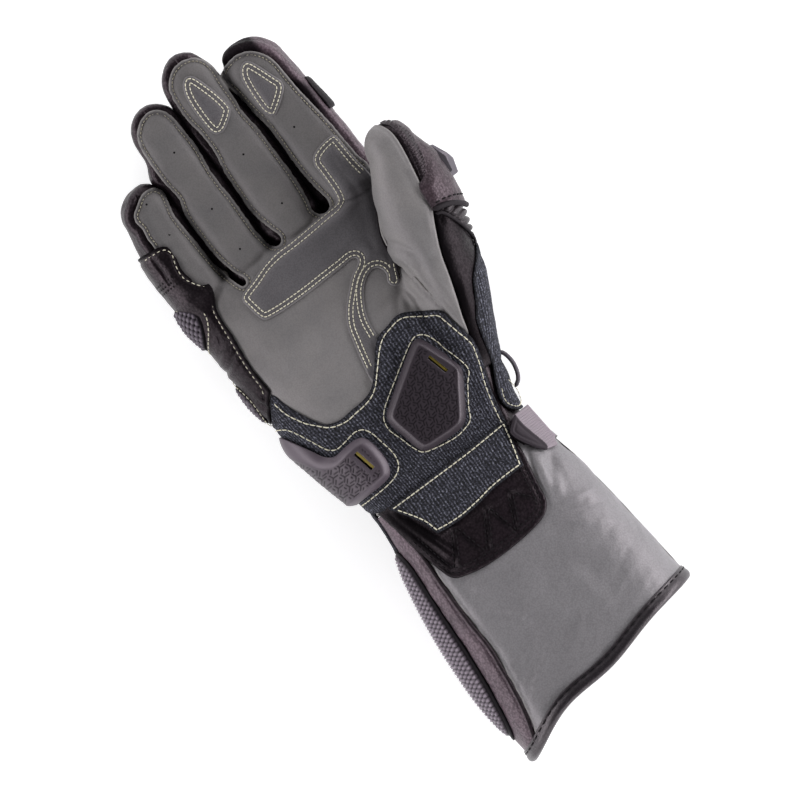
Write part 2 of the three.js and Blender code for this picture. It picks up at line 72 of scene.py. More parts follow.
FINGER_ROWS = {
    "little": np.array([
        [70, -57.0, -33.4, 0.0, 32.0, 0], [95, -59.4, -32.6, 0.0, 30.0, 0],
        [122, -59.6, -32.3, 3.0, 29.5, 0], [134, -57.6, -32.6, 5.0, 29.5, 0]]),
    "ring": np.array([
        [70, -32.8, -7.7, 0.0, 33.0, 0], [95, -33.2, -7.5, 0.0, 30.5, 0],
        [128, -33.3, -7.5, 3.7, 28.8, 0], [135, -33.6, -7.6, 4.5, 28.5, 0], [144, -35.6, -7.8, 6.0, 29.0, 0],
        [152, -32.9, -8.0, 7.4, 30.0, 0], [160, -32.2, -8.0, 8.5, 30.5, 0]]),
    "middle": np.array([
        [70, -7.7, 20.4, 0.0, 33.5, 0], [95, -7.9, 20.6, 0.0, 31.0, 0], [135, -8.2, 20.6, 5.0, 29.0, 0],
        [155, -8.9, 19.1, 8.0, 30.5, 0], [169, -8.2, 17.8, 10.5, 31.5, 0]]),
    "index": np.array([
        [70, 20.9, 51.5, 0.0, 33.0, 0], [95, 20.6, 52.5, 0.0, 31.0, 0], [115, 20.2, 51.8, 2.0, 29.5, 0],
        [135, 20.1, 50.4, 4.5, 29.5, 0], [150, 19.0, 49.0, 7.0, 30.5, 0], [160, 19.0, 47.6, 8.5, 31.0, 0]]),
}
FINGER_TIPS = {
    "little": (-44.5, 147.6, 17.5), "ring": (-19.6, 174.5, 20.5),
    "middle": (5.2, 185.2, 22.0), "index": (30.5, 175.5, 20.5),
}


def bulge(t, power):
    """The sine or cosine t raised to 2 / power, with its sign kept."""
    return np.sign(t) * np.abs(t) ** (2 / power)


def ease(t, low, high):
    """From 0 below low to 1 above high, along a smooth S curve."""
    t = np.clip((t - low) / (high - low), 0, 1)
    return t * t * (3 - 2 * t)


def hill(t, width):
    """A bell curve of height 1 over t = 0 that is down to a third at the given width."""
    return np.exp(-(t / width) ** 2)


def rim(distance, width):
    """From 1 at a sheet's edge down to 0 at a width inside it, for an edge that is rounded off."""
    return np.clip(1 - distance / width, 0, 1) ** 2


def higher_of(a, b, blend):
    """The larger of two heights, with a fillet where they are within blend of each other."""
    part = np.maximum(blend - np.abs(a - b), 0) / blend
    return np.maximum(a, b) + part * part * blend / 4


def between_rows(rows, y):
    """The columns of a table at any y: a cubic curve through each, whose slope at a row is the mean slope
    there."""
    knots = rows[:, 0]
    slopes = np.gradient(rows, knots, axis=0)
    y = np.clip(y, knots[0], knots[-1])
    k = np.clip(np.searchsorted(knots, y) - 1, 0, len(knots) - 2)
    step = (knots[k + 1] - knots[k])[..., None]
    t = (y[..., None] - knots[k][..., None]) / step
    return (rows[k] * (1 + 2 * t) * (1 - t) ** 2 + rows[k + 1] * t * t * (3 - 2 * t)
            + step * t * (1 - t) * (slopes[k] * (1 - t) - slopes[k + 1] * t))


class Limb:
    """A limb, empty inside, whose sections are rounded rectangles, |x / a|^flat + |z / b|^round = 1.

    Past its last row, where it has a tip, the section shrinks to the tip like a quarter of an ellipse.
    """

    def __init__(self, rows, flat, rounded, tip=None):
        self.rows, self.flat, self.rounded, self.tip = rows, flat, rounded, tip
        self.end = tip[1] if tip else rows[-1, 0]

    def section(self, y):
        """Middle and half width in X, middle and half height in Z, and lean, at y."""
        row = between_rows(self.rows, y)
        left, right, low, high, lean = (row[..., k] for k in range(1, 6))
        if self.tip:
            last = self.rows[-1, 0]
            size = np.sqrt(np.clip(1 - (np.clip(y - last, 0, None) / (self.tip[1] - last)) ** 2, 0, 1))
            left, right = (self.tip[0] + (side - self.tip[0]) * size for side in (left, right))
            low, high = (self.tip[2] + (side - self.tip[2]) * size for side in (low, high))
        return (left + right) / 2, (right - left) / 2, (low + high) / 2, (high - low) / 2, lean

    def point(self, turn, y):
        """The point at an angle round the section: 0 is the thumb side and a quarter turn is the top."""
        x, a, z, b, lean = self.section(y)
        across = bulge(np.cos(turn), self.flat)
        up = bulge(np.sin(turn), self.rounded)
        height = np.maximum(z + b * up, 0.4)
        return np.stack([x + a * across, y + lean / 2 * across, height], -1)

    def top(self, x, y):
        """The height of the upper side over a point of the plan, and far below it beside the limb."""
        row = y
        for _ in range(4):
            middle, a, z, b, lean = self.section(row)
            across = (x - middle) / np.maximum(a, 0.01)
            row = y - lean / 2 * np.clip(across, -1, 1)
        up = np.clip(1 - np.abs(across) ** self.flat, 0, 1) ** (1 / self.rounded)
        beside = np.clip(np.abs(across) - 1, 0, None) * a + np.clip(y - self.end, 0, None)
        return z + b * up - 4 * beside

    def stations(self, start, step):
        """Y values from start to the end, about step apart, and evenly along the rounding of a tip."""
        last = self.rows[-1, 0]
        straight = np.linspace(start, last, int((last - start) / step) + 2)
        if not self.tip:
            return straight
        reach = self.tip[1] - last
        around = np.linspace(0, math.pi / 2, int(1.3 * reach / step) + 6)[1:]
        return np.concatenate([straight, last + reach * np.sin(around) * 0.9999])


body = Limb(BODY_ROWS, 3.2, 2.2)
fingers = {name: Limb(rows, 2.3, 2.3, FINGER_TIPS[name]) for name, rows in FINGER_ROWS.items()}
thumb_limb = Limb(np.array([
    [-12, 24.0, 45.0, 9.0, 36.0, 0], [6, 27.0, 54.0, 5.0, 43.0, 0], [26, 30.5, 63.4, 7.0, 48.6, 0],
    [48, 33.0, 70.0, 13.0, 54.0, 0], [60, 35.6, 73.0, 19.0, 56.0, 0], [72, 39.6, 74.3, 24.0, 57.0, 0],
    [84, 44.6, 73.8, 27.0, 56.5, 0], [95, 50.4, 71.4, 30.0, 55.5, 0]]), 2.2, 2.2, (61.4, 106.6, 43.5))


def palm_height(x, y):
    """The leather's height over the plan: the hand, which falls away past the knuckles, joined by fillets
    to the fingers and, below the thumb's edge, to the root of the thumb, and hollowed in the middle of the
    palm."""
    hand = body.top(x, y) - 0.15 * np.clip(y - 84, 0, 12) ** 2 - 3.0 * hill(x - 12, 26) * hill(y - 60, 24)
    height = hand
    for finger in fingers.values():
        height = higher_of(height, finger.top(x, y) - 0.3 * np.clip(91 - y, 0, None) ** 1.5, 3.0)
    root = thumb_limb.top(x, y) - 40 * ease(y, 40, 66)
    return higher_of(height, root, 8.0)


def smooth_line(points, closed=False, per=10):
    """A curve through the points. The tangent at a point is the line between its neighbours over the length
    of the two stretches, so a point that is given twice makes a corner."""
    points = np.asarray(points, float)
    if closed:
        before, after = np.roll(points, 1, 0), np.roll(points, -1, 0)
    else:
        before, after = np.vstack([points[:1], points[:-1]]), np.vstack([points[1:], points[-1:]])
    reach = np.linalg.norm(points - before, axis=1) + np.linalg.norm(after - points, axis=1)
    tangent = (after - before) / np.maximum(reach, 1e-9)[:, None]
    a, ta = (points, tangent) if closed else (points[:-1], tangent[:-1])
    b, tb = (after, np.roll(tangent, -1, 0)) if closed else (points[1:], tangent[1:])
    length = np.linalg.norm(b - a, axis=1)[:, None, None]
    t = (np.arange(per) / per)[None, :, None]
    a, b, ta, tb = (v[:, None, :] for v in (a, b, ta, tb))
    line = (a * (1 + 2 * t) * (1 - t) ** 2 + b * t * t * (3 - 2 * t)
            + length * t * (1 - t) * (ta * (1 - t) - tb * t)).reshape(-1, points.shape[1])
    line = line if closed else np.vstack([line, points[-1:]])
    keep = np.linalg.norm(line - np.roll(line, 1, 0), axis=1) > 1e-6
    return line[keep]


def closed_line(points):
    """A closed curve through the points, in five stretches from each to the next."""
    return smooth_line(points, closed=True, per=5)


def margin(points, outline):
    """How far each point lies inside a closed outline of the plan: the distance to its nearest edge,
    negative where a ray to the right crosses the outline an even number of times."""
    a = outline
    b = np.roll(outline, -1, 0)
    along = b - a
    size = np.maximum((along ** 2).sum(1), 1e-12)
    flat = points[..., :2].reshape(-1, 2)
    result = np.empty(len(flat))
    batch = 20000
    for start in range(0, len(flat), batch):
        p = flat[start:start + batch, None, :]
        t = np.clip(((p - a) * along).sum(-1) / size, 0, 1)
        away = p - a - along * t[..., None]
        distance = np.sqrt((away ** 2).sum(-1).min(1))
        x, y = p[..., 0], p[..., 1]
        crosses = (a[:, 1] > y) != (b[:, 1] > y)
        where = a[:, 0] + (y - a[:, 1]) * along[:, 0] / np.where(along[:, 1] == 0, 1e-12, along[:, 1])
        inside = (crosses & (x < where)).sum(1) % 2 == 1
        result[start:start + batch] = np.where(inside, distance, -distance)
    return result.reshape(points.shape[:-1])


def within(outline):
    """The room inside an outline of the plan, as a function of points."""
    return lambda points: margin(points, outline)


def axes(points):
    """The X, Y and Z of points, as three arrays."""
    return points[..., 0], points[..., 1], points[..., 2]


def furrows(points, table):
    """Folds in the leather. Each row is x, y to x, y, half width and height: a ridge or, where the height
    is below zero, a valley with a bell-shaped section that fades out at both ends."""
    total = np.zeros(points.shape[:-1])
    for x0, y0, x1, y1, width, height in table:
        a, along = np.array([x0, y0]), np.array([x1 - x0, y1 - y0])
        t = ((points[..., :2] - a) @ along) / (along @ along)
        away = np.linalg.norm(points[..., :2] - a - along * np.clip(t, 0, 1)[..., None], axis=-1)
        total += height * hill(away, width) * (0.35 + 0.65 * np.sin(np.clip(t, 0, 1) * math.pi))
    return total


def add_object(name, data):
    """An object that holds the data, in the scene."""
    made = bpy.data.objects.new(name, data)
    bpy.context.collection.objects.link(made)
    return made


def make_mesh(name, points, faces, smooth=True, **extras):
    """A mesh object of points in millimetres and arrays of faces, with extra numbers stored at its
    points."""
    mesh = bpy.data.meshes.new(name)
    mesh.vertices.add(len(points))
    mesh.vertices.foreach_set("co", ((points - ZERO) * MM).astype(np.float32).ravel())
    faces = [f for f in faces if len(f)]
    corners = np.concatenate([f.ravel() for f in faces])
    sizes = np.concatenate([np.full(len(f), f.shape[1]) for f in faces])
    mesh.loops.add(len(corners))
    mesh.loops.foreach_set("vertex_index", corners.astype(np.int32))
    mesh.polygons.add(len(sizes))
    mesh.polygons.foreach_set("loop_start", np.concatenate([[0], np.cumsum(sizes)[:-1]]).astype(np.int32))
    mesh.update(calc_edges=True)
    mesh.polygons.foreach_set("use_smooth", np.full(len(sizes), smooth))
    for key, values in extras.items():
        kind = "FLOAT" if values.ndim == 1 else "FLOAT_VECTOR"
        store = mesh.attributes.new(key, kind, "POINT")
        store.data.foreach_set("value" if values.ndim == 1 else "vector", values.astype(np.float32).ravel())
    made = add_object(name, mesh)
    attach(made, "root")
    return made


def unit(vectors):
    """Vectors scaled to a length of 1."""
    return vectors / np.maximum(np.linalg.norm(vectors, axis=-1, keepdims=True), 1e-9)


def normals_of(place, u, v, du=1e-3, dv=1e-2):
    """The surface's normals, from the cross product of its two directions a short way to each side."""
    across = place(u + du, v) - place(u - du, v)
    along = place(u, v + dv) - place(u, v - dv)
    return unit(np.cross(across, along))


def cut_sheet(name, place, inside, us, vs, relief, wall=LEATHER, flip=False, du=1e-3, dv=1e-2, weave=None,
              hollow=None):
    """A sheet cut from a surface.

    place(u, v) is the surface and inside(point) the distance inside the cut, negative outside it. On a grid
    of us by vs, each grid line that the cut crosses has its nearer node slid onto the cut, by up to 0.6 of
    a cell, so every cell lies wholly inside or outside, or is halved along its diagonal. relief(point,
    distance) lifts the sheet along its normal, and the wall is solid behind it. Its points store their
    distance from the cut as edge, the painted shade that hollow(point) gives, which darkens them, and
    weave(u, v) as coordinates for the cloth.
    """
    u, v = (grid.astype(float) for grid in np.meshgrid(us, vs, indexing="ij"))
    points = place(u, v)
    room = inside(points)
    near = np.zeros(room.shape, bool)
    for axis in (0, 1):
        low = [slice(None)] * 2
        high = [slice(None)] * 2
        low[axis], high[axis] = slice(None, -1), slice(1, None)
        a, b = room[tuple(low)], room[tuple(high)]
        crossed = (a > 0) != (b > 0)
        near[tuple(low)] |= crossed & (np.abs(a) <= np.abs(b))
        near[tuple(high)] |= crossed & (np.abs(a) > np.abs(b))
    per_u, per_v = np.gradient(room)
    size = np.maximum(per_u ** 2 + per_v ** 2, 1e-6)
    cell_u, cell_v = np.gradient(u, axis=0), np.gradient(v, axis=1)
    shift = np.where(near, -room / size, 0)
    u = u + np.clip(shift * per_u, -0.6, 0.6) * cell_u
    v = v + np.clip(shift * per_v, -0.6, 0.6) * cell_v
    points = place(u, v)
    sign = np.where(near, 0, np.where(room > 0, 1, -1))
    distance = np.where(near, 0, np.abs(room))
    normal = normals_of(place, u, v, du, dv) * (-1 if flip else 1)
    lifted = points + normal * relief(points, distance)[..., None]
    index = np.arange(room.size).reshape(room.shape)
    quad = np.stack([index[:-1, :-1], index[1:, :-1], index[1:, 1:], index[:-1, 1:]], -1).reshape(-1, 4)
    signs = sign.ravel()[quad]
    whole = (signs >= 0).all(1) & (signs > 0).any(1)
    kept = [quad[whole]]
    mixed = (signs > 0).any(1) & (signs < 0).any(1)
    for k in range(4):
        corner = mixed & (signs[:, k] > 0) & (signs[:, (k + 2) % 4] < 0)
        kept.append(quad[corner][:, [(k + 3) % 4, k, (k + 1) % 4]])
    if flip:
        kept = [f[:, ::-1] for f in kept]
    used = np.unique(np.concatenate([f.ravel() for f in kept]))
    renumber = np.full(room.size, -1)
    renumber[used] = np.arange(len(used))
    extras = {"edge": distance.ravel()[used]}
    # Painted shade, stored at the points so that the finishes darken them
    if hollow is not None:
        extras["hollow"] = hollow(points).ravel()[used]
    if weave is not None:
        extras["weave"] = weave(u, v).reshape(-1, 3)[used]
    made = make_mesh(name, lifted.reshape(-1, 3)[used], [renumber[f] for f in kept], **extras)
    solid = made.modifiers.new("wall", "SOLIDIFY")
    solid.thickness = wall * MM
    solid.offset = -1
    solid.use_rim = True
    solid.material_offset_rim = 1
    return made


def plan_sheet(name, place, cut, xs, ys, relief, **options):
    """A sheet cut to an outline from a surface that is given over the plan."""
    return cut_sheet(name, place, within(cut), xs, ys, relief, du=0.05, dv=0.05, **options)


def over_palm(x, y):
    """The palm's surface as a function of the plan."""
    return np.stack([x, y, palm_height(x, y)], -1)


def seam_lip(distance, lip=0.3, groove=0.4, at=FINGER_SEAM, puff=0.35):
    """A sewn raw edge: a lip, a valley along the seam, then leather that puffs up again."""
    rounded = -0.35 * rim(distance, 0.35)
    return (rounded + lip * hill(distance, 0.9) - groove * hill(distance - at, 0.75)
            + puff * hill(distance - 5, 2.6))


def waves(points, seed, size, height):
    """Low uneven waves in a skin: the mean of eight sine waves in directions and lengths drawn from a
    seed."""
    draw = np.random.default_rng(seed)
    angle, phase = draw.uniform(0, 2 * math.pi, (2, 8))
    length = size * draw.uniform(0.6, 1.7, 8)
    along = (points[..., :1] * np.cos(angle) + points[..., 1:2] * np.sin(angle)
             + points[..., 2:3] * np.cos(2 * phase))
    return height * np.sin(2 * math.pi * along / length + phase).mean(-1)


# The visible edge of the cut, from the thumb side of the index finger to the outer side of the little finger
FINGER_EDGE = [
    (49.4, 95.6), (47.8, 101), (46.7, 112), (45.6, 123.3), (44.4, 131), (43, 140), (42.2, 148),
    (41.4, 156.7), (39.4, 162.2), (35, 167.2), (29.4, 169.3), (23.9, 169), (19.6, 167.6), (17.2, 165.2),
    (17.4, 161), (18.6, 155.6), (20, 145.6), (21.7, 136.7), (22, 127.8), (22, 117.8), (22.8, 105.6),
    (23.9, 97.8), (24.8, 92.4), (23.9, 89.6), (21.1, 88.5), (18.3, 89.6), (16.9, 92.6), (17.8, 96.7),
    (18.6, 105.6), (18.7, 117.8), (18.3, 127.8), (17.8, 137.8), (16.5, 147.8), (17, 153.3), (16.8, 162.2),
    (17.2, 171), (15.6, 176.4), (11.7, 180.2), (6.1, 181.4), (0.6, 180.1), (-4.4, 175.6), (-6.3, 168),
    (-6.1, 156.7), (-5, 151), (-4.5, 140), (-6.1, 128.9), (-6.4, 117.8), (-6.1, 106.7), (-3.9, 97.8),
    (-2, 91.4), (-3, 89.1), (-5.2, 88.5), (-7.2, 89.9), (-8.4, 93.3), (-9.4, 101), (-9.8, 117.8),
    (-10.6, 128.9), (-10.2, 136.7), (-9.4, 145.6), (-10.3, 158), (-11.7, 166), (-15, 169.9),
    (-19.4, 171.2), (-25, 169.4), (-29.4, 164.4), (-31.1, 156.7), (-31.2, 145.6), (-30.7, 138),
    (-29.9, 131), (-31.7, 123), (-31.7, 112), (-31.1, 101), (-28.3, 90), (-25.8, 84.6), (-26.5, 82.6),
    (-28.6, 82.4), (-30.6, 86.7), (-32.8, 95.6), (-34.4, 112), (-35.6, 125.6), (-34.4, 132.2),
    (-33.4, 137.6), (-35.2, 141.4), (-38.9, 142.8), (-43.4, 141.9), (-47.2, 139.3), (-50.6, 136.8),
    (-51.7, 133.6), (-51, 129.4), (-51.6, 124.4), (-51.4, 119.4),
]
HIDDEN_EDGE = [
    (-52.4, 115), (-50, 110.5), (-51, 103), (-48.6, 96), (-46, 90), (-48, 82), (-50, 70), (-51, 50),
    (-50, 32), (-47, 8), (-43, -14), (-38, -38), (-38, -38), (31, -38), (31, -38), (36, -14), (40, 4),
    (41, 22), (38, 33), (37, 44), (37.5, 52), (41, 62), (45, 74), (48, 86),
]
palm_cut = closed_line(FINGER_EDGE + HIDDEN_EDGE)

# Soft folds: from the hook of the grip patch, across the heel of the hand, and where the fingers bend
PALM_FOLDS = [
    (29, 42, 20, 32, 2.2, -1.1), (29, 42, 27, 28, 1.8, -1.0), (30, 42, 33.5, 30, 1.5, -0.9),
    (28, 41, 14, 37, 2.6, -0.7), (24, 38, 16, 28, 1.8, 0.5), (31, 39, 30, 29, 1.4, 0.5),
    (-40, 58, -12, 44, 7, 0.5), (-38, 40, -10, 24, 6, 0.4), (-34, 28, -14, 14, 3, 0.5),
    (-30, 22, -12, 11, 2.0, -0.5), (-30, 30, 6, 53, 6, -0.9), (-39, 52, -4, 56, 5, -0.7),
    (-42, 66, -34, 30, 4, -0.4), (-20, 50, 0, 30, 6, -0.5), (-31, 16, -22, 9, 2, 0.5),
    (-31, 133, -11, 134, 1.6, -0.35), (-30, 126, -12, 126.5, 1.2, -0.2), (-6, 139, 17, 141, 1.6, -0.3),
    (22, 133, 44, 133, 1.6, -0.3), (-5, 103, 18, 104, 1.8, -0.25), (-30, 100, -11, 99, 1.8, -0.25),
    (-50, 122, -36, 118, 1.6, -0.3), (-24, 169, -24, 160, 2.0, -0.4), (0, 176, -2, 164, 2.0, -0.4),
]


def palm_relief(points, distance):
    """The lip, puckered by its stitches, the folds and low waves."""
    pucker = waves(points, 5, 3.0, 0.8) * hill(distance - 0.9, 1.1)
    return (seam_lip(distance) + pucker + furrows(points, PALM_FOLDS) + waves(points, 3, 21, 0.35)
            + waves(points, 4, 7, 0.10))


def thumb_painted_shadow(points):
    """Painted shadow of the thumb: a soft darker part of the palm next to it."""
    x, y = points[..., 0], points[..., 1]
    return 0.4 * ease(x, 20, 40) * ease(y, 40, 60) * (1 - ease(y, 84, 96))


def palm_painted_shade(points):
    """Painted shade on the skin: over the fingers and the sides of their fronts, in a soft band across the
    palm, along the seam, and beside the thumb."""
    x, y = points[..., 0], points[..., 1]
    room = margin(points, palm_cut)
    edges = 0.3 * hill(room - FINGER_SEAM, 0.6) + 0.14 * (1 - ease(room, 1.5, 6.5)) * ease(y, 84, 92)
    return edges + 0.33 * ease(y, 56, 84) + 0.12 * hill(y - 56, 9) + thumb_painted_shadow(points)


palm = plan_sheet("palm_skin", over_palm, palm_cut, np.arange(-58, 51, 0.9), np.arange(-39, 183, 0.88),
                  palm_relief, hollow=palm_painted_shade)
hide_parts("palm_leather")


def shade(red, green, blue):
    """A colour given as it looks on a screen, 0 to 255, as the linear values that a shader takes."""
    linear = [((c / 255 + 0.055) / 1.055) ** 2.4 if c > 10 else c / 3294.6 for c in (red, green, blue)]
    return tuple(linear) + (1.0,)


def node(tree, kind, settings=None, **inputs):
    """A shader node with its settings, and each input either set or joined to another node's output. An
    input goes by its name, with _ for a space, or by its number after a _ where names repeat."""
    made = tree.nodes.new("ShaderNode" + kind)
    for key, value in (settings or {}).items():
        setattr(made, key, value)
    for key, value in inputs.items():
        socket = made.inputs[int(key[1:])] if key[1:].isdigit() else made.inputs[key.replace("_", " ")]
        if isinstance(value, bpy.types.NodeSocket):
            tree.links.new(value, socket)
        else:
            socket.default_value = value
    return made


def new_finish(name):
    """A new material, its node tree and its shader."""
    made = bpy.data.materials.new(name)
    made.use_nodes = True
    return made, made.node_tree, made.node_tree.nodes["Principled BSDF"]


def stored(tree, name):
    """A number that a piece stores at its points."""
    return node(tree, "Attribute", {"attribute_name": name}).outputs["Fac"]


def remap(tree, value, low, high, start, end):
    """A value taken from the range low to high to the range start to end, and held at both ends."""
    return node(tree, "MapRange", Value=value, _1=low, _2=high, _3=start, _4=end).outputs[0]


def mix(tree, factor, first, second, kind="MIX"):
    """Two colours mixed, or multiplied, by a factor."""
    settings = {"data_type": "RGBA", "blend_type": kind}
    return node(tree, "Mix", settings, Factor=factor, _6=first, _7=second).outputs[2]


def skin_finish(name, colour, dark, raw, grain, depth, rough, shine=0.5, pebble=0.5,
                sheen=(1.0, 0.9, 0.96, 1.0)):
    """Leather: a colour that drifts between two tones and is darkened, with less shine, by the painted shade
    that a piece stores, darker pores between the grains, a raw paler edge, and a grain of small cells, each
    bent by up to half its size, with finer wrinkles over it."""
    made, tree, shader = new_finish(name)
    place = node(tree, "TexCoord").outputs["Object"]
    drift = node(tree, "TexNoise", Vector=place, Scale=38.0, Detail=3.0, Roughness=0.6).outputs[0]
    warp = node(tree, "TexNoise", Vector=place, Scale=grain * 0.5, Detail=2.0)
    bent = node(tree, "Mix", {"data_type": "VECTOR"}, Factor=0.54 / grain, _4=place, _5=warp.outputs["Color"])
    cells = node(tree, "TexVoronoi", {"feature": "SMOOTH_F1"}, Vector=bent.outputs[1], Scale=grain,
                 Smoothness=0.35).outputs["Distance"]
    fine = node(tree, "TexNoise", Vector=place, Scale=grain * 2.2, Detail=4.0, Roughness=0.65).outputs[0]
    tone = mix(tree, remap(tree, drift, 0.3, 0.62, 0.0, 1.0), shade(*dark), shade(*colour))
    pores = remap(tree, cells, 0.25, 0.75, 1.0, 1 - 0.5 * pebble)
    # Painted shade: the amount that a piece stores darkens the colour towards near-black and takes off the
    # shine
    hollow = stored(tree, "hollow")
    sunk = mix(tree, hollow, mix(tree, 1.0, tone, pores, "MULTIPLY"), shade(14, 12, 14))
    worn = remap(tree, stored(tree, "edge"), 0.15, 0.95, 0.85, 0.0)
    tree.links.new(mix(tree, worn, sunk, shade(*raw)), shader.inputs["Base Color"])
    tree.links.new(remap(tree, fine, 0.3, 0.7, rough - 0.07, rough + 0.08), shader.inputs["Roughness"])
    raised = node(tree, "Math", {"operation": "MULTIPLY_ADD"}, _0=cells, _1=-pebble, _2=fine).outputs[0]
    bump = node(tree, "Bump", Height=raised, Strength=0.8, Distance=depth * MM).outputs[0]
    low = node(tree, "TexNoise", Vector=place, Scale=130.0, Detail=4.0, Roughness=0.6).outputs[0]
    creased = node(tree, "Bump", Height=low, Strength=0.35, Distance=0.8 * MM, Normal=bump)
    tree.links.new(creased.outputs[0], shader.inputs["Normal"])
    shine_left = remap(tree, hollow, 0.0, 1.0, shine * 1.15, 0.0)
    grained = node(tree, "Math", {"operation": "MULTIPLY"}, _0=shine_left, _1=pores)
    tree.links.new(grained.outputs[0], shader.inputs["Specular IOR Level"])
    shader.inputs["Specular Tint"].default_value = sheen
    return made


def plain_finish(name, colour, rough, grain=900.0, depth=0.08, drift=0.12):
    """An even surface such as a cut edge, a thread or a moulding: one tone that varies a little and is
    darkened, with less shine, by the painted shade that a piece stores, and a fine tooth."""
    made, tree, shader = new_finish(name)
    place = node(tree, "TexCoord").outputs["Object"]
    cloud = node(tree, "TexNoise", Vector=place, Scale=grain * 0.3, Detail=4.0).outputs[0]
    tones = [tuple(min(1.0, c * gain) for c in shade(*colour)[:3]) + (1.0,)
             for gain in (1 - drift, 1 + drift)]
    # Painted shade: the amount that a piece stores darkens the tone towards near-black and takes off the
    # shine
    hollow = stored(tree, "hollow")
    tint = mix(tree, hollow, mix(tree, cloud, *tones), shade(12, 11, 12))
    tree.links.new(tint, shader.inputs["Base Color"])
    tooth = node(tree, "TexNoise", Vector=place, Scale=grain, Detail=4.0).outputs[0]
    bump = node(tree, "Bump", Height=tooth, Strength=0.6, Distance=depth * MM)
    tree.links.new(bump.outputs[0], shader.inputs["Normal"])
    shader.inputs["Roughness"].default_value = rough
    shine_left = remap(tree, hollow, 0.0, 1.0, 0.5 if rough < 0.6 else 0.2, 0.0)
    tree.links.new(shine_left, shader.inputs["Specular IOR Level"])
    shader.inputs["Specular Tint"].default_value = (1.0, 0.9, 0.98, 1.0)
    return made


def give(piece, *finishes):
    """The piece with finishes put in its material slots."""
    for finish in finishes:
        piece.data.materials.append(finish)
    return piece


grey_skin = skin_finish("grey goatskin", (118, 115, 115), (107, 105, 106), (120, 117, 116), 1500.0, 0.10,
                        0.52, 0.45, 0.25)
grey_cut = plain_finish("raw edge of grey skin", (112, 107, 104), 0.85)
give(palm, grey_skin, grey_cut)


# Seams and perforations of the palm
# A lock stitch in dull cream thread runs 1.7 mm inside the raw edge, round every finger. Single needle holes
# in each finger's front let air in.
def inset_line(line, distance, cut):
    """An open line moved into a cut by a distance along its normals, less the points that come too near the
    edge."""
    tangent = np.gradient(line, axis=0)
    normal = unit(np.stack([-tangent[:, 1], tangent[:, 0]], -1))
    inwards = 1 if (margin(line + normal * 0.4, cut) > 0).mean() > 0.5 else -1
    moved = line + normal * distance * inwards
    return moved[margin(moved, cut) > distance - 0.25]


def laid(place, line, rise):
    """Points and normals of a surface over a line of the plan, lifted by rise along the normal."""
    x, y = line[:, 0], line[:, 1]
    normal = normals_of(place, x, y, 0.05, 0.05)
    return place(x, y) + normal * np.asarray(rise)[..., None], normal


def length_along(line):
    """The distance along a line up to each of its points."""
    return np.concatenate([[0], np.cumsum(np.linalg.norm(np.diff(line, axis=0), axis=1))])


def read_line(at, length, values):
    """The points of a line, or its normals, at distances along it."""
    return np.stack([np.interp(at, length, values[:, k]) for k in range(3)], -1)


def sew(name, rows, finish, pitch=2.5, dash=0.62, radius=0.24, arch=0.14):
    """Stitches along rows of points and normals.

    Each stitch takes the share dash of the pitch. Its thread is thickest in the middle, where it arches up
    off the leather, and thin at both ends, where it dips into its holes.
    """
    stations = np.array([-1, -0.8, -0.3, 0.3, 0.8, 1])
    girth = np.array([0.4, 0.85, 1, 1, 0.85, 0.4])
    sides = 5
    angle = np.arange(sides) / sides * 2 * math.pi
    points, faces = [], []
    total = 0
    for line, normal in rows:
        length = length_along(line)
        count = int(length[-1] / pitch)
        if count < 1:
            continue
        centres = (np.arange(count) + 0.5) * length[-1] / count
        along = centres[:, None] + stations * pitch * dash / 2
        middle = read_line(along, length, line)
        up = unit(read_line(along, length, normal))
        side = np.cross(unit(np.gradient(middle, axis=1)), up)
        middle = middle + up * (arch * (1 - stations ** 2) - radius * 0.25)[None, :, None]
        ring = up[:, :, None] * np.cos(angle)[:, None] + side[:, :, None] * np.sin(angle)[:, None]
        thread = middle[:, :, None] + ring * (radius * girth)[None, :, None, None]
        index = total + np.arange(thread.size // 3).reshape(thread.shape[:-1])
        after = np.roll(index, -1, 2)
        tube = np.stack([index[:, :-1], after[:, :-1], after[:, 1:], index[:, 1:]], -1)
        points.append(thread.reshape(-1, 3))
        faces += [tube.reshape(-1, 4), index[:, 0, ::-1].reshape(-1, sides), index[:, -1].reshape(-1, sides)]
        total += index.size
    return give(make_mesh(name, np.concatenate(points), faces), finish)


# Painted shade: near-black for the inside of the holes
hole_painted_shade = plain_finish("needle hole", (10, 9, 10), 0.9)


def pits(name, centres, normals, radius, stretch=(0.0, 1.0, 0.0)):
    """Needle holes: cups of twelve sides whose rim lies on the leather, stretched along a direction by its
    length. They are hardly sunk, and their near-black is painted shade for the depth of each hole."""
    sides = 12
    angle = np.arange(sides) / sides * 2 * math.pi
    reach = np.array(stretch)
    along = unit(reach - (normals @ reach)[:, None] * normals)
    across = np.cross(normals, along)
    stretched = along[:, None] * np.sin(angle)[:, None] * np.linalg.norm(reach)
    ring = (across[:, None] * np.cos(angle)[:, None] + stretched) * radius
    rim = centres[:, None] + ring + normals[:, None] * 0.05
    low = centres[:, None] + ring * 0.55 + normals[:, None] * 0.02
    points = np.concatenate([rim, low], 1).reshape(-1, 3)
    first = np.arange(len(centres))[:, None] * 2 * sides
    k = np.arange(sides)
    after = (k + 1) % sides
    wall = np.stack([first + k, first + after, first + sides + after, first + sides + k], -1)
    return give(make_mesh(name, points, [wall.reshape(-1, 4), first + sides + k]), hole_painted_shade)


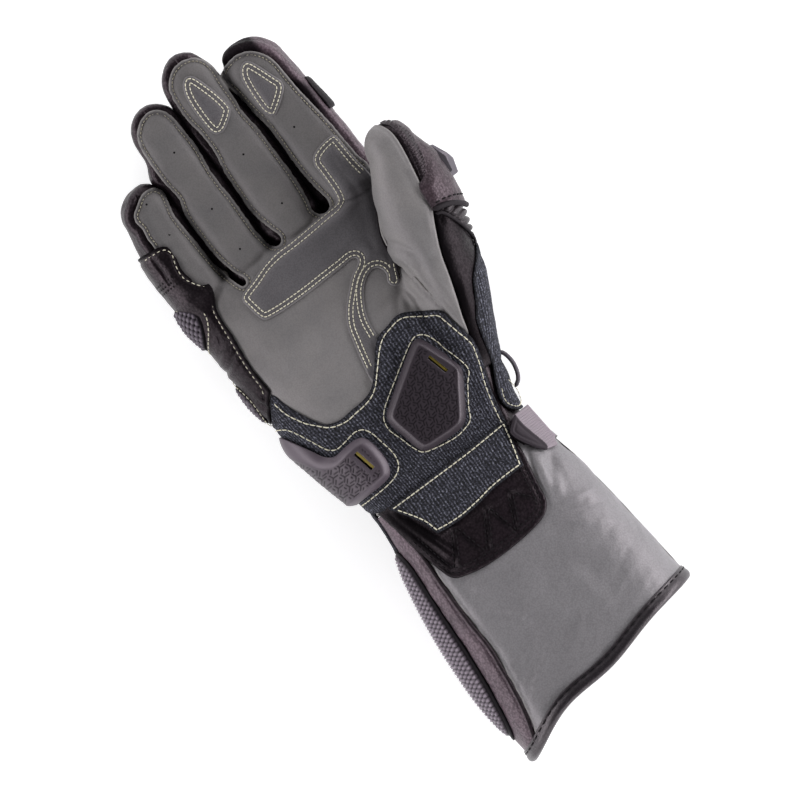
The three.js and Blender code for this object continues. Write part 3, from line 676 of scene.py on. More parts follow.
dull_thread = plain_finish("dull cream thread", (148, 142, 125), 0.75, 2500.0, 0.05)
cream_thread = plain_finish("cream thread", (198, 193, 174), 0.7, 2500.0, 0.05)
black_thread = plain_finish("black thread", (14, 13, 15), 0.75, 2500.0, 0.05)
finger_line = inset_line(smooth_line(FINGER_EDGE), FINGER_SEAM, palm_cut)
seam_rise = seam_lip(np.array(FINGER_SEAM)) + 0.1
finger_seam = sew("finger_seam", [laid(over_palm, finger_line, seam_rise)], dull_thread, pitch=1.8, dash=0.66,
                  radius=0.21)
PERFORATIONS = np.array([
    (-43, 137.4), (-42.3, 120.5), (-19.4, 149.5), (-20, 119), (-20, 97), (5.7, 131), (7.3, 103), (31.5, 128)])
hole_rise = palm_relief(over_palm(PERFORATIONS[:, 0], PERFORATIONS[:, 1]), margin(PERFORATIONS, palm_cut))
perforations = pits("finger_perforations", *laid(over_palm, PERFORATIONS, hole_rise), 0.5)


# Grip patch and fingertip patches
# A second layer of the same skin, sewn over the palm with two rows of cream stitches: a band across the palm
# with an arm up the index finger and one down to the heel, and a small teardrop on two fingertips.
GRIP_EDGE = [
    (46.8, 94), (45.8, 100), (44.9, 110), (44.2, 114.6), (42, 115.4), (36, 114.5), (31, 112.3),
    (29, 108.6), (29.1, 104.8), (29, 92), (27, 88.9), (20.5, 88.1), (10, 87.3), (0, 86.6), (-7.4, 86.3),
    (-15.3, 84.9), (-23, 82), (-29.9, 79.8), (-32.4, 77.6), (-32, 73), (-30.4, 66.2), (-28.8, 64.1),
    (-25, 63.2), (-15.7, 62.7), (-5.4, 62.9), (3.2, 63.4), (13, 63.9), (18.6, 64.3), (20.6, 63.2),
    (19.6, 61.2), (14.5, 58.2), (9, 53.2), (3, 46.6), (-0.7, 39.9), (-2.4, 33), (-4.1, 24.9), (-5, 20),
]
GRIP_HOOK = [
    (8.2, 30), (9.1, 38), (11.6, 44.2), (15.2, 49.9), (19.5, 53.6), (23, 55), (25.7, 54.4), (27.2, 52.2),
    (27.2, 49.4), (25.9, 46.8), (26.4, 44.2), (28.6, 42.8), (30.6, 43.8), (32.2, 47.2), (34, 51.5),
]
GRIP_UNDER_HEEL = [(-6, 13), (-6, 13), (6, 13), (6, 13), (7.4, 24)]
GRIP_UNDER_THUMB = [(37, 58), (41, 68), (45, 78), (47.4, 86)]
SECOND_LAYER = 0.95
grip_cut = closed_line(GRIP_EDGE + GRIP_UNDER_HEEL + GRIP_HOOK + GRIP_UNDER_THUMB)
FIRST_ROW, SECOND_ROW = 1.3, 3.2
INDEX_TIP_EDGE = [
    (29.4, 164.7), (26.6, 163.2), (24.4, 158.5), (23.8, 145.5), (24.6, 140.2), (27.2, 137.3), (30.2, 138.6),
    (37.4, 144.6), (38.6, 148), (37.2, 152), (34, 160), (31.8, 163.9),
]
MIDDLE_TIP_EDGE = [
    (4.4, 174.2), (1.4, 172.4), (-0.6, 168), (-1.4, 160), (-0.8, 148.6), (0.8, 145.4), (3.9, 144.6),
    (7.4, 146.2), (12.2, 150.2), (13, 153), (11.8, 160), (8.8, 169.4), (7, 172.9),
]


def double_seam_lip(points, distance):
    """A soft lip, a shallow trough that holds both rows of stitches, and leather that puffs up inside
    them."""
    trough = 0.24 * (hill(distance - FIRST_ROW, 0.6) + hill(distance - SECOND_ROW, 0.6))
    return (SECOND_LAYER - 0.5 * rim(distance, 0.7) - trough + 0.45 * hill(distance - 6.5, 2.6)
            + furrows(points, PALM_FOLDS) + waves(points, 3, 21, 0.35))


def double_rows(edges, cut):
    """Both rows of stitches inside each visible edge."""
    rows = []
    for edge in edges:
        for away in (FIRST_ROW, SECOND_ROW):
            line = inset_line(edge, away, cut)
            on = over_palm(line[:, 0], line[:, 1])
            rows.append(laid(over_palm, line, double_seam_lip(on, np.full(len(line), away)) + 0.12))
    return rows


# Painted shade: the patches are of the palm's own skin, but coloured darker for the shade over the upper palm
# and the fingertips; they also carry the thumb's painted shadow.
painted_shade_grip_skin = skin_finish("grip skin with painted shade", (85, 83, 86), (78, 76, 79), (96, 94, 95), 1500.0, 0.08, 0.5, 0.5, 0.35)
patches = {
    "grip_patch": (grip_cut, [smooth_line(GRIP_EDGE), smooth_line(GRIP_HOOK)]),
    "index_tip_patch": (smooth_line(INDEX_TIP_EDGE, closed=True), None),
    "middle_tip_patch": (smooth_line(MIDDLE_TIP_EDGE, closed=True), None),
}
for name, (cut, edges) in patches.items():
    low, high = cut.min(0) - 1, cut.max(0) + 1
    patch = plan_sheet(name + "_skin", over_palm, cut, np.arange(low[0], high[0], 0.7),
                       np.arange(low[1], high[1], 0.7), double_seam_lip, wall=0.9, hollow=thumb_painted_shadow)
    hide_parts(name)
    give(patch, painted_shade_grip_skin, grey_cut)
    ring = [np.vstack([cut, cut[:1]])] if edges is None else edges
    seam = sew(name + "_seam", double_rows(ring, cut), cream_thread, pitch=1.95, dash=0.78, radius=0.26)


# Dark backs of the fingers and hand
# Black pebbled leather with a purple-brown sheen wraps the sides and back. Each finger's back rolls over its
# tip as a fat rim round the grey front and is tucked under the grey edge. The hand's back laps the fingers'
# roots.
BACK_FROM = 70
KNUCKLE = 93
TUCK = 3.0
NO_ROOM = -9.0


def dark_relief(points, past_edge):
    """Tucked in under the grey edge, then a fat roll beside it, and flat under the panel that covers the
    outer side. past_edge is the distance outside the grey cut."""
    x, y, z = axes(points)
    covered = ease(-x, 43, 48) * (1 - ease(y, 115, 118)) * ease(z, 8, 14)
    tucked = -1.8 * ease(z, 19, 26) * ease(-past_edge, -2.1, -0.5)
    return (tucked + 1.0 * hill(past_edge - 3.6, 1.5) + waves(points, 9, 12, 0.4) + waves(points, 10, 4, 0.15)
            - 1.2 * covered - 0.6 * ease(past_edge, 1.8, 3.5))


def even(place, v, start, stop, step):
    """Angles, from start to stop in half turns, whose points lie evenly along the surface at v, about step
    apart."""
    fine = np.linspace(start * math.pi, stop * math.pi, 3000)
    length = length_along(place(fine, np.full_like(fine, v)))
    return np.interp(np.linspace(0, length[-1], int(length[-1] / step) + 2), length, fine)


def outside_of(cut, limb):
    """How far a point of a limb lies outside a cut on its upper side, and well outside it on its lower
    side."""
    def measure(points):
        middle_z = limb.section(points[..., 1])[2]
        past = -margin(points, cut)
        return np.where(points[..., 2] > middle_z, past, np.maximum(past, 0) + 6.0 + TUCK)
    return measure


# The gloss of the dark leather is a little purple
PURPLE_SHEEN = (1.0, 0.82, 0.92, 1.0)
black_skin = skin_finish("black pebbled leather", (29, 22, 27), (21, 16, 19), (12, 10, 12), 950.0, 0.15, 0.36,
                         0.38, 0.9, PURPLE_SHEEN)
# Painted light: the black leather in a lighter purple-brown, for faces that the lamps light, the index
# finger's back and the cuff's side
painted_lit_skin = skin_finish("black leather with painted light", (84, 70, 78), (62, 52, 58), (30, 25, 28), 950.0, 0.15, 0.4, 0.55,
                         0.9, PURPLE_SHEEN)
black_cut_and_gap_shade = plain_finish("cut edge of black leather", (24, 21, 24), 0.7)


def index_painted_shade(points):
    """Painted shade over the lit copy of the leather: dark beside the palm leather, and left lit on the outer
    side and over the end of the tip.
    """
    return 0.93 * (1 - ease(points[..., 0] + 8 * ease(points[..., 1], 138, 158), 45.5, 48.5))


for name, limb in fingers.items():
    past = outside_of(palm_cut, limb)
    turns = even(limb.point, 100, -1.5, 0.5, 1.15)

    def back_relief(points, distance):
        """The dark leather's relief, sunk under the hand's back and along the seam on each side."""
        _, y, z = axes(points)
        middle, half = limb.section(y)[2:4]
        under_hand = 1 - ease(y, KNUCKLE - 1, KNUCKLE + 1.5)
        side_seam = hill(z - (middle - 0.35 * half), 0.9) * (z < middle + 4)
        return dark_relief(points, past(points)) - 1.3 * under_hand - 0.55 * side_seam

    # Painted light: the index finger's back takes the lighter copy of the black leather, and painted shade
    # darkens it beside the palm leather
    index = name == "index"
    back = cut_sheet(name + "_back_skin", limb.point, lambda p: past(p) + TUCK, turns,
                     limb.stations(BACK_FROM, 1.1), back_relief, wall=1.2, flip=True,
                     hollow=index_painted_shade if index else None)
    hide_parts(name + "_back")
    give(back, painted_lit_skin if index else black_skin, black_cut_and_gap_shade)

past_palm = outside_of(palm_cut, body)


def hand_room(points):
    """The hand's back: outside the palm's cut and short of the knuckles, with an edge that swells over each
    finger and reaches on between them. The part that the palm leather hides is left out."""
    x, y, z = axes(points)
    scallop = 1.6 * np.abs(np.sin((x + 33) / 26.5 * math.pi))
    web = 5.0 * sum(hill(x - crotch, 2.0) for crotch in (-32.9, -7.9, 20.7))
    hidden = (z > 20) & (np.abs(x + 4) < 44) & (y > 50)
    room = np.minimum(past_palm(points) + TUCK, np.where(hidden, NO_ROOM, -NO_ROOM))
    return np.minimum(room, KNUCKLE - 1 + scallop + web - y)


def hand_back_relief(points, distance):
    """The tuck under the palm's edge, a lip at the knuckles, and wide soft folds."""
    knuckle = np.where(points[..., 1] > 60, seam_lip(distance, 0.2, 0.3), 0)
    return dark_relief(points, past_palm(points)) + knuckle * (points[..., 2] < 20)


hand_turns = even(body.point, 40, -1.5, 0.5, 1.5)
hand_back = cut_sheet("hand_back_skin", body.point, hand_room, hand_turns, np.arange(-37.5, 97, 1.45),
                      hand_back_relief, wall=1.2, flip=True)
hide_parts("hand_back")
give(hand_back, black_skin, black_cut_and_gap_shade)


# Woven heel patch
# Coarse navy and black aramid cloth, sewn over the heel of the palm with long cream stitches. It carries both
# sliders, wraps the little-finger side and runs down that side as a narrow strip.
HEEL_EDGE = [
    (-70, 21.5), (-70, 21.5), (-55.5, 21.5), (-51.5, 27), (-47.6, 33.4), (-46, 35), (-44.7, 33.4),
    (-42.9, 27.3), (-39.8, 20), (-34.4, 10.9), (-30.2, 8.7), (-26.5, 8), (-20.5, 8.7), (-14.4, 9.2),
    (-9.5, 10.6), (-5.3, 13.5), (-2.3, 16.9), (1.4, 21.6), (5, 26), (9.3, 29.2), (13.7, 30.2),
    (19.3, 31.7), (23.5, 31.3), (29.1, 28.2), (36.1, 24.2), (38.8, 21.4), (39.5, 17.2), (41.2, 10.2),
    (42.5, 3.2), (41.4, -3.5), (39.2, -10.5), (37, -16.5), (35.6, -22), (34.5, -27.5), (33.6, -33),
    (32.7, -39), (32.7, -39), (-31, -39), (-31, -39), (-35.5, -36.6), (-38.6, -35.6), (-38.4, -39.5),
    (-38.7, -45), (-39.1, -50), (-39.4, -56), (-39.4, -56), (-70, -56), (-70, -56),
]
HEEL_SEAM = [
    (-46.8, 31.2), (-44.9, 24), (-42.2, 18.6), (-39.8, 14.9), (-36.2, 11.1), (-33.2, 8.3), (-29.5, 6.6),
    (-24.4, 5.8), (-19.8, 6.4), (-14.4, 7), (-9.5, 8.5), (-5.3, 11.5), (0.2, 17.6), (5, 23), (9.8, 27),
    (15, 28.7), (20, 29.6), (23.5, 28.7), (29.1, 25.2), (36, 21.4), (37.3, 17.2), (38.9, 10.2),
    (40.5, 2.6), (39.4, -2.7), (37.3, -9.5), (35.2, -15.1), (33.7, -20.7), (32.6, -25.6), (31.9, -30),
    (31, -36),
]
OUTER_SLIDER_SEAM = [
    (-53.4, 20.6), (-52, 20.6), (-48.9, 18.5), (-45.9, 13.9), (-43.5, 9.1), (-41.1, 4.2), (-38.6, 0),
    (-35.6, -1.8), (-31.4, -1.5), (-24.7, -0.3), (-21.1, -1.5), (-18.9, -4.8), (-17.4, -10.9),
    (-16.2, -16.4), (-16.2, -20.6), (-17.7, -24.2), (-20.5, -26.4), (-25.3, -27.9), (-35, -28.8),
    (-40.5, -29),
]
INNER_SLIDER_SEAM = [
    (22.1, 19.3), (18.6, 18.2), (10.2, 13), (3.9, 8.8), (-2.5, 4.6), (-8.1, 0.4), (-10.9, -3.2),
    (-11.6, -8.1), (-9.5, -14.4), (-7.4, -20.7), (-4.9, -24.9), (1.1, -26.7), (10.2, -27.9), (15.1, -27.4),
    (20.4, -25.3), (22.8, -20.7), (26.3, -15.1), (29.1, -10.9), (32.3, -7.4), (33, -4.6), (31.9, 1.1),
    (29.8, 7.4), (27.7, 13.7), (25.6, 17.5),
]


def over_hand(turn, y):
    """The hand's and cuff's surface at an angle round their section, with the dip in the palm and the root of
    the thumb added to its upper half."""
    at = body.point(turn, y)
    middle = body.section(y)[2]
    lift = palm_height(at[..., 0], at[..., 1]) - body.top(at[..., 0], at[..., 1])
    at[..., 2] += np.clip(lift, -5, 12) * ease(at[..., 2], middle, middle + 8) * (1 - ease(y, 80, 88))
    return at


def wrapped(edge, lowest):
    """The room inside an outline of the plan and above a lowest height, for a piece that wraps the side."""
    return lambda points: np.minimum(margin(points, edge), points[..., 2] - lowest)


def cloth_of(place, turns, y):
    """Cloth coordinates in millimetres: the length round the section at y, and the length along the
    glove."""
    length = length_along(place(turns, np.full_like(turns, y)))
    return lambda u, v: np.stack([np.interp(u, turns, length), v, np.zeros_like(u)], -1)


def cloth_finish(name):
    """Ribbed cloth: uneven columns 1.5 mm apart along Y, beaded with knots of navy, black and pale yarn."""
    made, tree, shader = new_finish(name)
    place = node(tree, "Attribute", {"attribute_name": "weave"}).outputs["Vector"]
    columns = node(tree, "TexWave", {"bands_direction": "X"}, Vector=place, Scale=0.2094, Distortion=3.2,
                   Detail=3.0, Detail_Scale=2.2).outputs["Fac"]
    squeezed = node(tree, "VectorMath", {"operation": "MULTIPLY"}, _0=place, _1=(0.9, 1.25, 1.0)).outputs[0]
    knots = node(tree, "TexVoronoi", Vector=squeezed, Scale=1.0, Randomness=0.8)
    yarn = node(tree, "TexNoise", Vector=place, Scale=0.95, Detail=4.0, Roughness=0.7).outputs[0]
    beads = node(tree, "Math", {"operation": "MULTIPLY_ADD"}, _0=knots.outputs["Distance"], _1=-0.8,
                 _2=remap(tree, columns, 0.0, 1.0, 0.0, 0.6)).outputs[0]
    body_tone = node(tree, "Math", {"operation": "MULTIPLY_ADD"}, _0=yarn, _1=2.6, _2=beads).outputs[0]
    tones = node(tree, "ValToRGB", _0=remap(tree, body_tone, 0.4, 2.0, 0.0, 1.0))
    ramp = tones.color_ramp
    ramp.elements[0].position, ramp.elements[0].color = 0.2, shade(17, 17, 20)
    ramp.elements[1].position, ramp.elements[1].color = 0.98, shade(118, 119, 132)
    ramp.elements.new(0.6).color = shade(46, 46, 55)
    frayed = remap(tree, stored(tree, "edge"), 0.3, 1.5, 0.75, 0.0)
    tree.links.new(mix(tree, frayed, tones.outputs[0], shade(18, 18, 23)), shader.inputs["Base Color"])
    bump = node(tree, "Bump", Height=body_tone, Strength=1.0, Distance=0.3 * MM)
    tree.links.new(bump.outputs[0], shader.inputs["Normal"])
    shader.inputs["Roughness"].default_value = 0.85
    shader.inputs["Specular IOR Level"].default_value = 0.2
    return made


def cloth_relief(points, distance):
    """The patch's own thickness, a valley along its seam, and the raw edge that frays upwards outside
    it."""
    over_grip = 1.3 * ease(margin(points, grip_cut), -2.5, 0.5) * (points[..., 1] < 34)
    return (0.95 - 0.4 * rim(distance, 0.5) - 0.35 * hill(distance - 1.9, 0.7) + over_grip
            + 0.35 * hill(distance - 4.5, 2.0) + waves(points, 31, 9, 0.25) + waves(points, 32, 2.6, 0.1))


def rows_over(lines, place, relief, cut):
    """Rows for stitches over lines of the plan, on a surface with its relief."""
    rows = []
    for line in lines:
        line = smooth_line(line) if isinstance(line, list) else line
        on = place(line[:, 0], line[:, 1])
        rows.append(laid(place, line, relief(on, np.abs(margin(line, cut))) + 0.12))
    return rows


heel_cut = closed_line(HEEL_EDGE)
heel_turns = even(over_hand, 0, 0.12, 1.2, 0.72)
heel_cloth = cloth_finish("woven aramid")
heel = cut_sheet("heel_patch_cloth", over_hand, wrapped(heel_cut, 14), heel_turns, np.arange(-57, 37, 0.72),
                 cloth_relief, wall=0.9, flip=True, weave=cloth_of(over_hand, heel_turns, 0))
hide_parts("heel_patch")
give(heel, heel_cloth, heel_cloth)
heel_rows = rows_over([HEEL_SEAM, OUTER_SLIDER_SEAM, smooth_line(INNER_SLIDER_SEAM, closed=True)], over_palm,
                      cloth_relief, heel_cut)
heel_seam = sew("heel_patch_seam", heel_rows, cream_thread, pitch=3.2, dash=0.88, radius=0.29)


# Palm sliders
# Two satin mouldings on the heel of the hand: a five-sided one under the thumb and one that wraps the outer
# edge. Each has a soft bevel round a sunken field of Y-shaped grooves, and a slot with an olive insert.
OUTER_SLIDER = [
    (-70, 20), (-70, 20), (-55, 19.8), (-52.4, 17.8), (-48.3, 11.3), (-44.1, 4), (-40.9, -1.4),
    (-37.4, -3.7), (-32, -3.2), (-26.5, -3), (-23, -4.2), (-21.1, -8), (-20.1, -14), (-20.3, -20.4),
    (-22.6, -24.8), (-27, -26.2), (-33, -26.6), (-45, -27.2), (-70, -27.6), (-70, -27.6),
]
INNER_SLIDER = [
    (18.4, 17.2), (21.6, 17.8), (23.8, 15.6), (27, 8), (30.5, -1.2), (30.6, -4.6), (26, -12.4),
    (21, -20.6), (18.4, -24.2), (14.6, -26), (4, -26.2), (-2.6, -25.6), (-5.4, -23.4), (-8, -14.4),
    (-9.9, -6), (-9, -2.4), (-3.6, 2), (6, 8.8),
]
# Each slot's middle in X and Y, its turn, its length and its width
SLOTS = {"outer": (-27.4, -12.8, 0.24, 10.0, 2.1), "inner": (22.5, 3.3, 0.27, 10.2, 1.8)}


def turned_plan(points, turn, middle=(0, 0)):
    """How far points lie from a middle, across and along axes of the plan turned by an angle."""
    x, y = points[..., 0] - middle[0], points[..., 1] - middle[1]
    return x * math.cos(turn) + y * math.sin(turn), y * math.cos(turn) - x * math.sin(turn)


def in_slot(points, slot):
    """How far points of the plan lie outside a slot, negative inside it."""
    x, y, turn, length, width = slot
    across, along = turned_plan(points, turn, (x, y))
    return np.maximum(np.abs(across) - width / 2, np.abs(along) - length / 2)


def branches(points, turn, pitch=(4.6, 7.97)):
    """The distance to the nearest groove of a pattern turned by an angle: Ys in staggered rows, each arm
    with a short stroke beside it on one side."""
    x, y = turned_plan(points, turn)
    strokes = []
    for angle in np.radians([-90, 30, 150]):
        arm, side = np.array([[math.cos(angle), math.sin(angle)], [-math.sin(angle), math.cos(angle)]])
        strokes += [((0, 0), 1.9 * arm), (0.9 * arm + 1.15 * side, 1.5 * arm)]
    nearest = np.full(x.shape, 9.0)
    for shift in (0.0, 0.5):
        u = (x / pitch[0] + shift) % 1 * pitch[0] - pitch[0] / 2
        v = (y / pitch[1] + shift) % 1 * pitch[1] - pitch[1] / 2
        for (x0, y0), (ax, ay) in strokes:
            t = np.clip(((u - x0) * ax + (v - y0) * ay) / (ax * ax + ay * ay), 0, 1)
            nearest = np.minimum(nearest, np.hypot(u - x0 - t * ax, v - y0 - t * ay))
    return nearest


moulded = {"outer": plain_finish("lighter satin moulding", (68, 60, 68), 0.42, 1800.0, 0.04, 0.06),
           "inner": plain_finish("satin moulding", (44, 38, 44), 0.42, 1800.0, 0.04, 0.06)}
dark_moulding_and_slot_shade = plain_finish("dark moulding and painted slot shade", (16, 14, 16), 0.6)
olive = plain_finish("olive insert", (120, 106, 30), 0.5, 1500.0, 0.04)


def soften_edges(piece, width):
    """A bevel of two segments round a piece's edges."""
    rounding = piece.modifiers.new("bevel", "BEVEL")
    rounding.width = width * MM
    rounding.segments = 2
    return piece


def block(name, size, slot, rise, aside, finish):
    """A bevelled box in a slot, raised along the surface's normal and moved aside across the slot."""
    x, y, turn, length, width = slot
    place, up = (v[0] for v in laid(over_palm, np.array([[x, y]]), np.array([rise])))
    along = np.array([-math.sin(turn), math.cos(turn), 0])
    across = np.cross(along, up)
    across /= np.linalg.norm(across)
    spin = np.array([across, np.cross(up, across), up])
    half = np.array(size) / 2
    corners = np.array([(x, y, z) for x in (-1, 1) for y in (-1, 1) for z in (-1, 1)]) * half
    sides = np.array([(0, 1, 3, 2), (4, 6, 7, 5), (0, 4, 5, 1), (2, 3, 7, 6), (0, 2, 6, 4), (1, 5, 7, 3)])
    made = make_mesh(name, corners @ spin + place + across * aside, [sides], smooth=False)
    return soften_edges(give(made, finish), 0.2)


for name, edge, tilt in (("outer", OUTER_SLIDER, -0.6), ("inner", INNER_SLIDER, -0.3)):
    cut = closed_line(edge)
    slot = SLOTS[name]
    rim_room = wrapped(cut, 12)

    def slider_room(points):
        """Inside the outline and outside the slot."""
        return np.minimum(rim_room(points), in_slot(points, slot))

    def grooves(points):
        """How much a point lies in a groove of the field, 0 to 1."""
        clear = ease(rim_room(points), 3.6, 4.2) * ease(in_slot(points, slot), 1.2, 1.8)
        return clear * hill(branches(points, tilt), 0.32)

    def field_painted_shade(points):
        """Painted shade: a little over the sunk field, and more in its grooves."""
        return 0.2 * ease(rim_room(points), 2.6, 3.6) + 0.62 * grooves(points)

    def slider_relief(points, distance):
        """A wide soft bevel up to 5.5 mm, and a field that is sunk a little and grooved."""
        inside = np.clip(rim_room(points), 0, None)
        bevel = 1 - np.clip(1 - inside / 3.5, 0, 1) ** 1.5
        return 2.3 + 3.2 * bevel - 0.1 * ease(inside, 2.6, 4.4) - 0.2 * grooves(points)

    turns = even(over_hand, -5, 0.15, 1.2, 0.34)
    slider = cut_sheet(name + "_slider_shell", over_hand, slider_room, turns, np.arange(-29, 21, 0.33),
                       slider_relief, wall=2.2, flip=True, hollow=field_painted_shade)
    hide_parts(name + "_slider")
    give(slider, moulded[name], moulded[name])
    length, width = slot[3:]
    insert = block(name + "_insert", (width * 0.66, length + 0.6, 2.0), slot, 3.8, width * 0.22, olive)
    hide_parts(name + "_slot_insert")
    # Painted shade: a near-black plate under each slot stands in for the shade down in it
    slot_shade_plate = block(name + "_slot_painted_shade", (width + 1.6, length + 1.6, 0.8), slot, 2.0, 0.0, dark_moulding_and_slot_shade)


# Side panel and its pads
# Black leather covers the little-finger edge of the hand. Its scalloped edge is sewn over the palm in cream
# thread, it is pierced with two rows of air holes, and two oval scaled pads of moulded rubber stand on it.
SIDE_EDGE = [
    (-70, 120), (-70, 120), (-58, 119.6), (-53, 119), (-49.4, 118.5), (-46.4, 116.6), (-44.7, 113),
    (-45.5, 109.5), (-46.7, 105.6), (-46.3, 100.6), (-43.9, 97.2), (-41.3, 93.5), (-40.4, 90),
    (-41.8, 85.6), (-43.9, 81), (-44.8, 74), (-44.8, 67.8), (-45.5, 60), (-46, 50), (-45.7, 42),
    (-45.3, 36.4), (-47, 34.6), (-50, 30.4), (-55.4, 22.4), (-70, 22.4), (-70, 22.4),
]
SIDE_SEAM = [
    (-57.6, 117.3), (-54, 117.2), (-50, 116.8), (-47.4, 115.6), (-46.5, 112.6), (-47.8, 107.8),
    (-48.3, 101), (-45.8, 95.6), (-42.3, 90.6), (-42.9, 85.6), (-45.6, 80), (-46.6, 70), (-47.3, 60),
    (-47.8, 50), (-47.5, 41), (-48.2, 37),
]
SIDE_FOLDS = [
    (-54.4, 118, -54.6, 101, 0.7, -1.1), (-52, 116, -51, 104, 1.8, 0.4), (-58, 114, -60, 98, 2.2, 0.4),
    (-57.5, 54.5, -47, 60.5, 0.8, -0.9), (-58, 51.5, -48, 56.5, 1.0, 0.6), (-57, 58.5, -50, 63.6, 1.0, 0.5),
    (-52, 36, -49.5, 28, 1.1, -0.9), (-50.6, 40, -50, 31, 0.9, 0.6), (-53.5, 50, -49, 42, 1.2, -0.5),
    (-52.5, 92, -48, 78, 1.6, 0.5), (-50, 72, -51, 64, 1.0, -0.6), (-48.2, 70, -49, 62, 0.9, -0.4),
]
# Each pad's middle in Y and Z, half length and half height, and how far outside it its stitches run
PADS = {"upper": (80.2, 16.5, 12.0, 10.0), "lower": (36.8, 15, 11.4, 9.0)}
PAD_SEAM = 1.6


def side_relief(points, distance):
    """The panel's own thickness, its lip and seam, the folds and low waves."""
    return (0.95 + seam_lip(distance, 0.25, 0.45, 1.9, 0.4) + furrows(points, SIDE_FOLDS)
            + waves(points, 41, 10, 0.3))


def over_side(turn, y):
    """The hand's surface, which passes into that of the little finger past the knuckles."""
    part = ease(y, 78, 96)[..., None]
    at = over_hand(turn, y) * (1 - part) + fingers["little"].point(turn, y) * part
    upper = ease(at[..., 2], 17, 22)
    at[..., 2] += (higher_of(at[..., 2], palm_height(at[..., 0], at[..., 1]), 1.0) - at[..., 2]) * upper
    return at


side_cut = closed_line(SIDE_EDGE)
side_turns = even(over_side, 70, 0.5, 1.25, 0.7)


def side_painted_shade(points):
    """Painted shade: a black line along the rolled edge outside the seam, and the leather darker away from
    the outer side, towards the top of the hand.
    """
    room = margin(points, side_cut)
    return np.maximum(0.9 * (1 - ease(room, 1.0, 1.7)), 0.6 * ease(points[..., 0], -56, -50))


side_panel = cut_sheet("side_panel_skin", over_side, wrapped(side_cut, 10), side_turns,
                       np.arange(21, 121, 0.7), side_relief, flip=True, hollow=side_painted_shade)
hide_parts("side_panel")
give(side_panel, black_skin, black_cut_and_gap_shade)
side_rows = rows_over([SIDE_SEAM], over_palm, side_relief, side_cut)
side_seam = sew("side_panel_seam", side_rows, cream_thread, pitch=2.6, dash=0.7, radius=0.27)
for row, y in enumerate((100.2, 102.2, 104.2)):
    around = even(over_side, y, 0.62, 0.97, 2.0)[row % 2:]
    along = np.full_like(around, y)
    normals = -normals_of(over_side, around, along)
    centres = over_side(around, along)
    rise = side_relief(centres, margin(centres, side_cut))
    holes = pits("side_air_holes_" + str(row + 1), centres + normals * (rise[:, None] + 0.12), normals, 0.42,
                 stretch=(0, 1.3, 0))


def in_pad(points, pad):
    """The distance inside an oval of the side: middle in Y and Z, half length and half height."""
    y, z, long, high = pad
    reach = np.hypot((points[..., 1] - y) / long, (points[..., 2] - z) / high)
    return np.where(points[..., 0] < -20, (1 - reach) * min(long, high), NO_ROOM)


def repeated(value, pitch, shift):
    """How far a value is from the middle of the repeat that it falls in."""
    return ((value / pitch + shift) % 1 - 0.5) * pitch


def scales(y, z, pitch=3.5):
    """Overlapping rounded scales in staggered rows: the height of the nearest dome, 0 to 1."""
    height = np.zeros(y.shape)
    for shift in (0.0, 0.5):
        u, v = repeated(y, pitch, shift), repeated(z, pitch, shift)
        height = np.maximum(height, 1 - np.clip(np.hypot(u, v) / 1.45, 0, 1) ** 2)
    return height


def left_side(y, z):
    """The point on the little-finger side of the hand at a height."""
    middle, a, mid, b, lean = body.section(y)
    across = -(1 - np.clip(np.abs((z - mid) / b), 0, 1) ** body.rounded) ** (1 / body.flat)
    return np.stack([middle + a * across, y + lean / 2 * across, z + 0 * y], -1)


scale_rubber = plain_finish("scaled rubber", (88, 80, 91), 0.36, 1500.0, 0.05, 0.08)
for name, pad in PADS.items():
    middle_y, middle_z, long, high = pad

    def bumps(points):
        """The height of the scales, 0 to 1, inside the pad's smooth rim."""
        x, y, z = axes(points)
        return scales(y, z + 0.6 * x) * ease(in_pad(points, pad), 0.5, 1.0)

    def pad_relief(points, distance):
        """A dome like half an egg, 2 mm high, with scales up to 1 mm on it."""
        dome = np.sqrt(np.clip(in_pad(points, pad) / min(long, high), 0, 1))
        return 1.3 + 2.0 * dome + 1.0 * bumps(points)

    turns = even(over_hand, middle_y, 0.55, 1.3, 0.36)
    # Painted shade: the scaled rubber is darkened between the scales and round the pad's smooth rim
    shell = cut_sheet("side_pad_" + name + "_scales", over_hand, lambda p: in_pad(p, pad), turns,
                      np.arange(middle_y - 13, middle_y + 13, 0.36), pad_relief, wall=1.6, flip=True,
                      hollow=lambda p: 0.97 * (1 - bumps(p)) ** 0.9)
    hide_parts("side_pad_" + name)
    give(shell, scale_rubber, scale_rubber)
    round_pad = np.linspace(0, 2 * math.pi, 90)
    border_y = middle_y + (long + PAD_SEAM) * np.cos(round_pad)
    border_z = middle_z + (high + PAD_SEAM) * np.sin(round_pad)
    step = 0.05
    normal = unit(np.cross(
        left_side(border_y, border_z + step) - left_side(border_y, border_z - step),
        left_side(border_y + step, border_z) - left_side(border_y - step, border_z)))
    normal *= np.where(normal[:, :1] > 0, -1, 1)
    border = left_side(border_y, border_z)
    rows = [(border + normal * (1.2 + 0.9 * np.clip(np.sin(round_pad), 0, 1))[:, None], normal)]
    pad_seam = sew("side_pad_" + name + "_seam", rows, cream_thread, pitch=2.4, dash=0.7, radius=0.25)


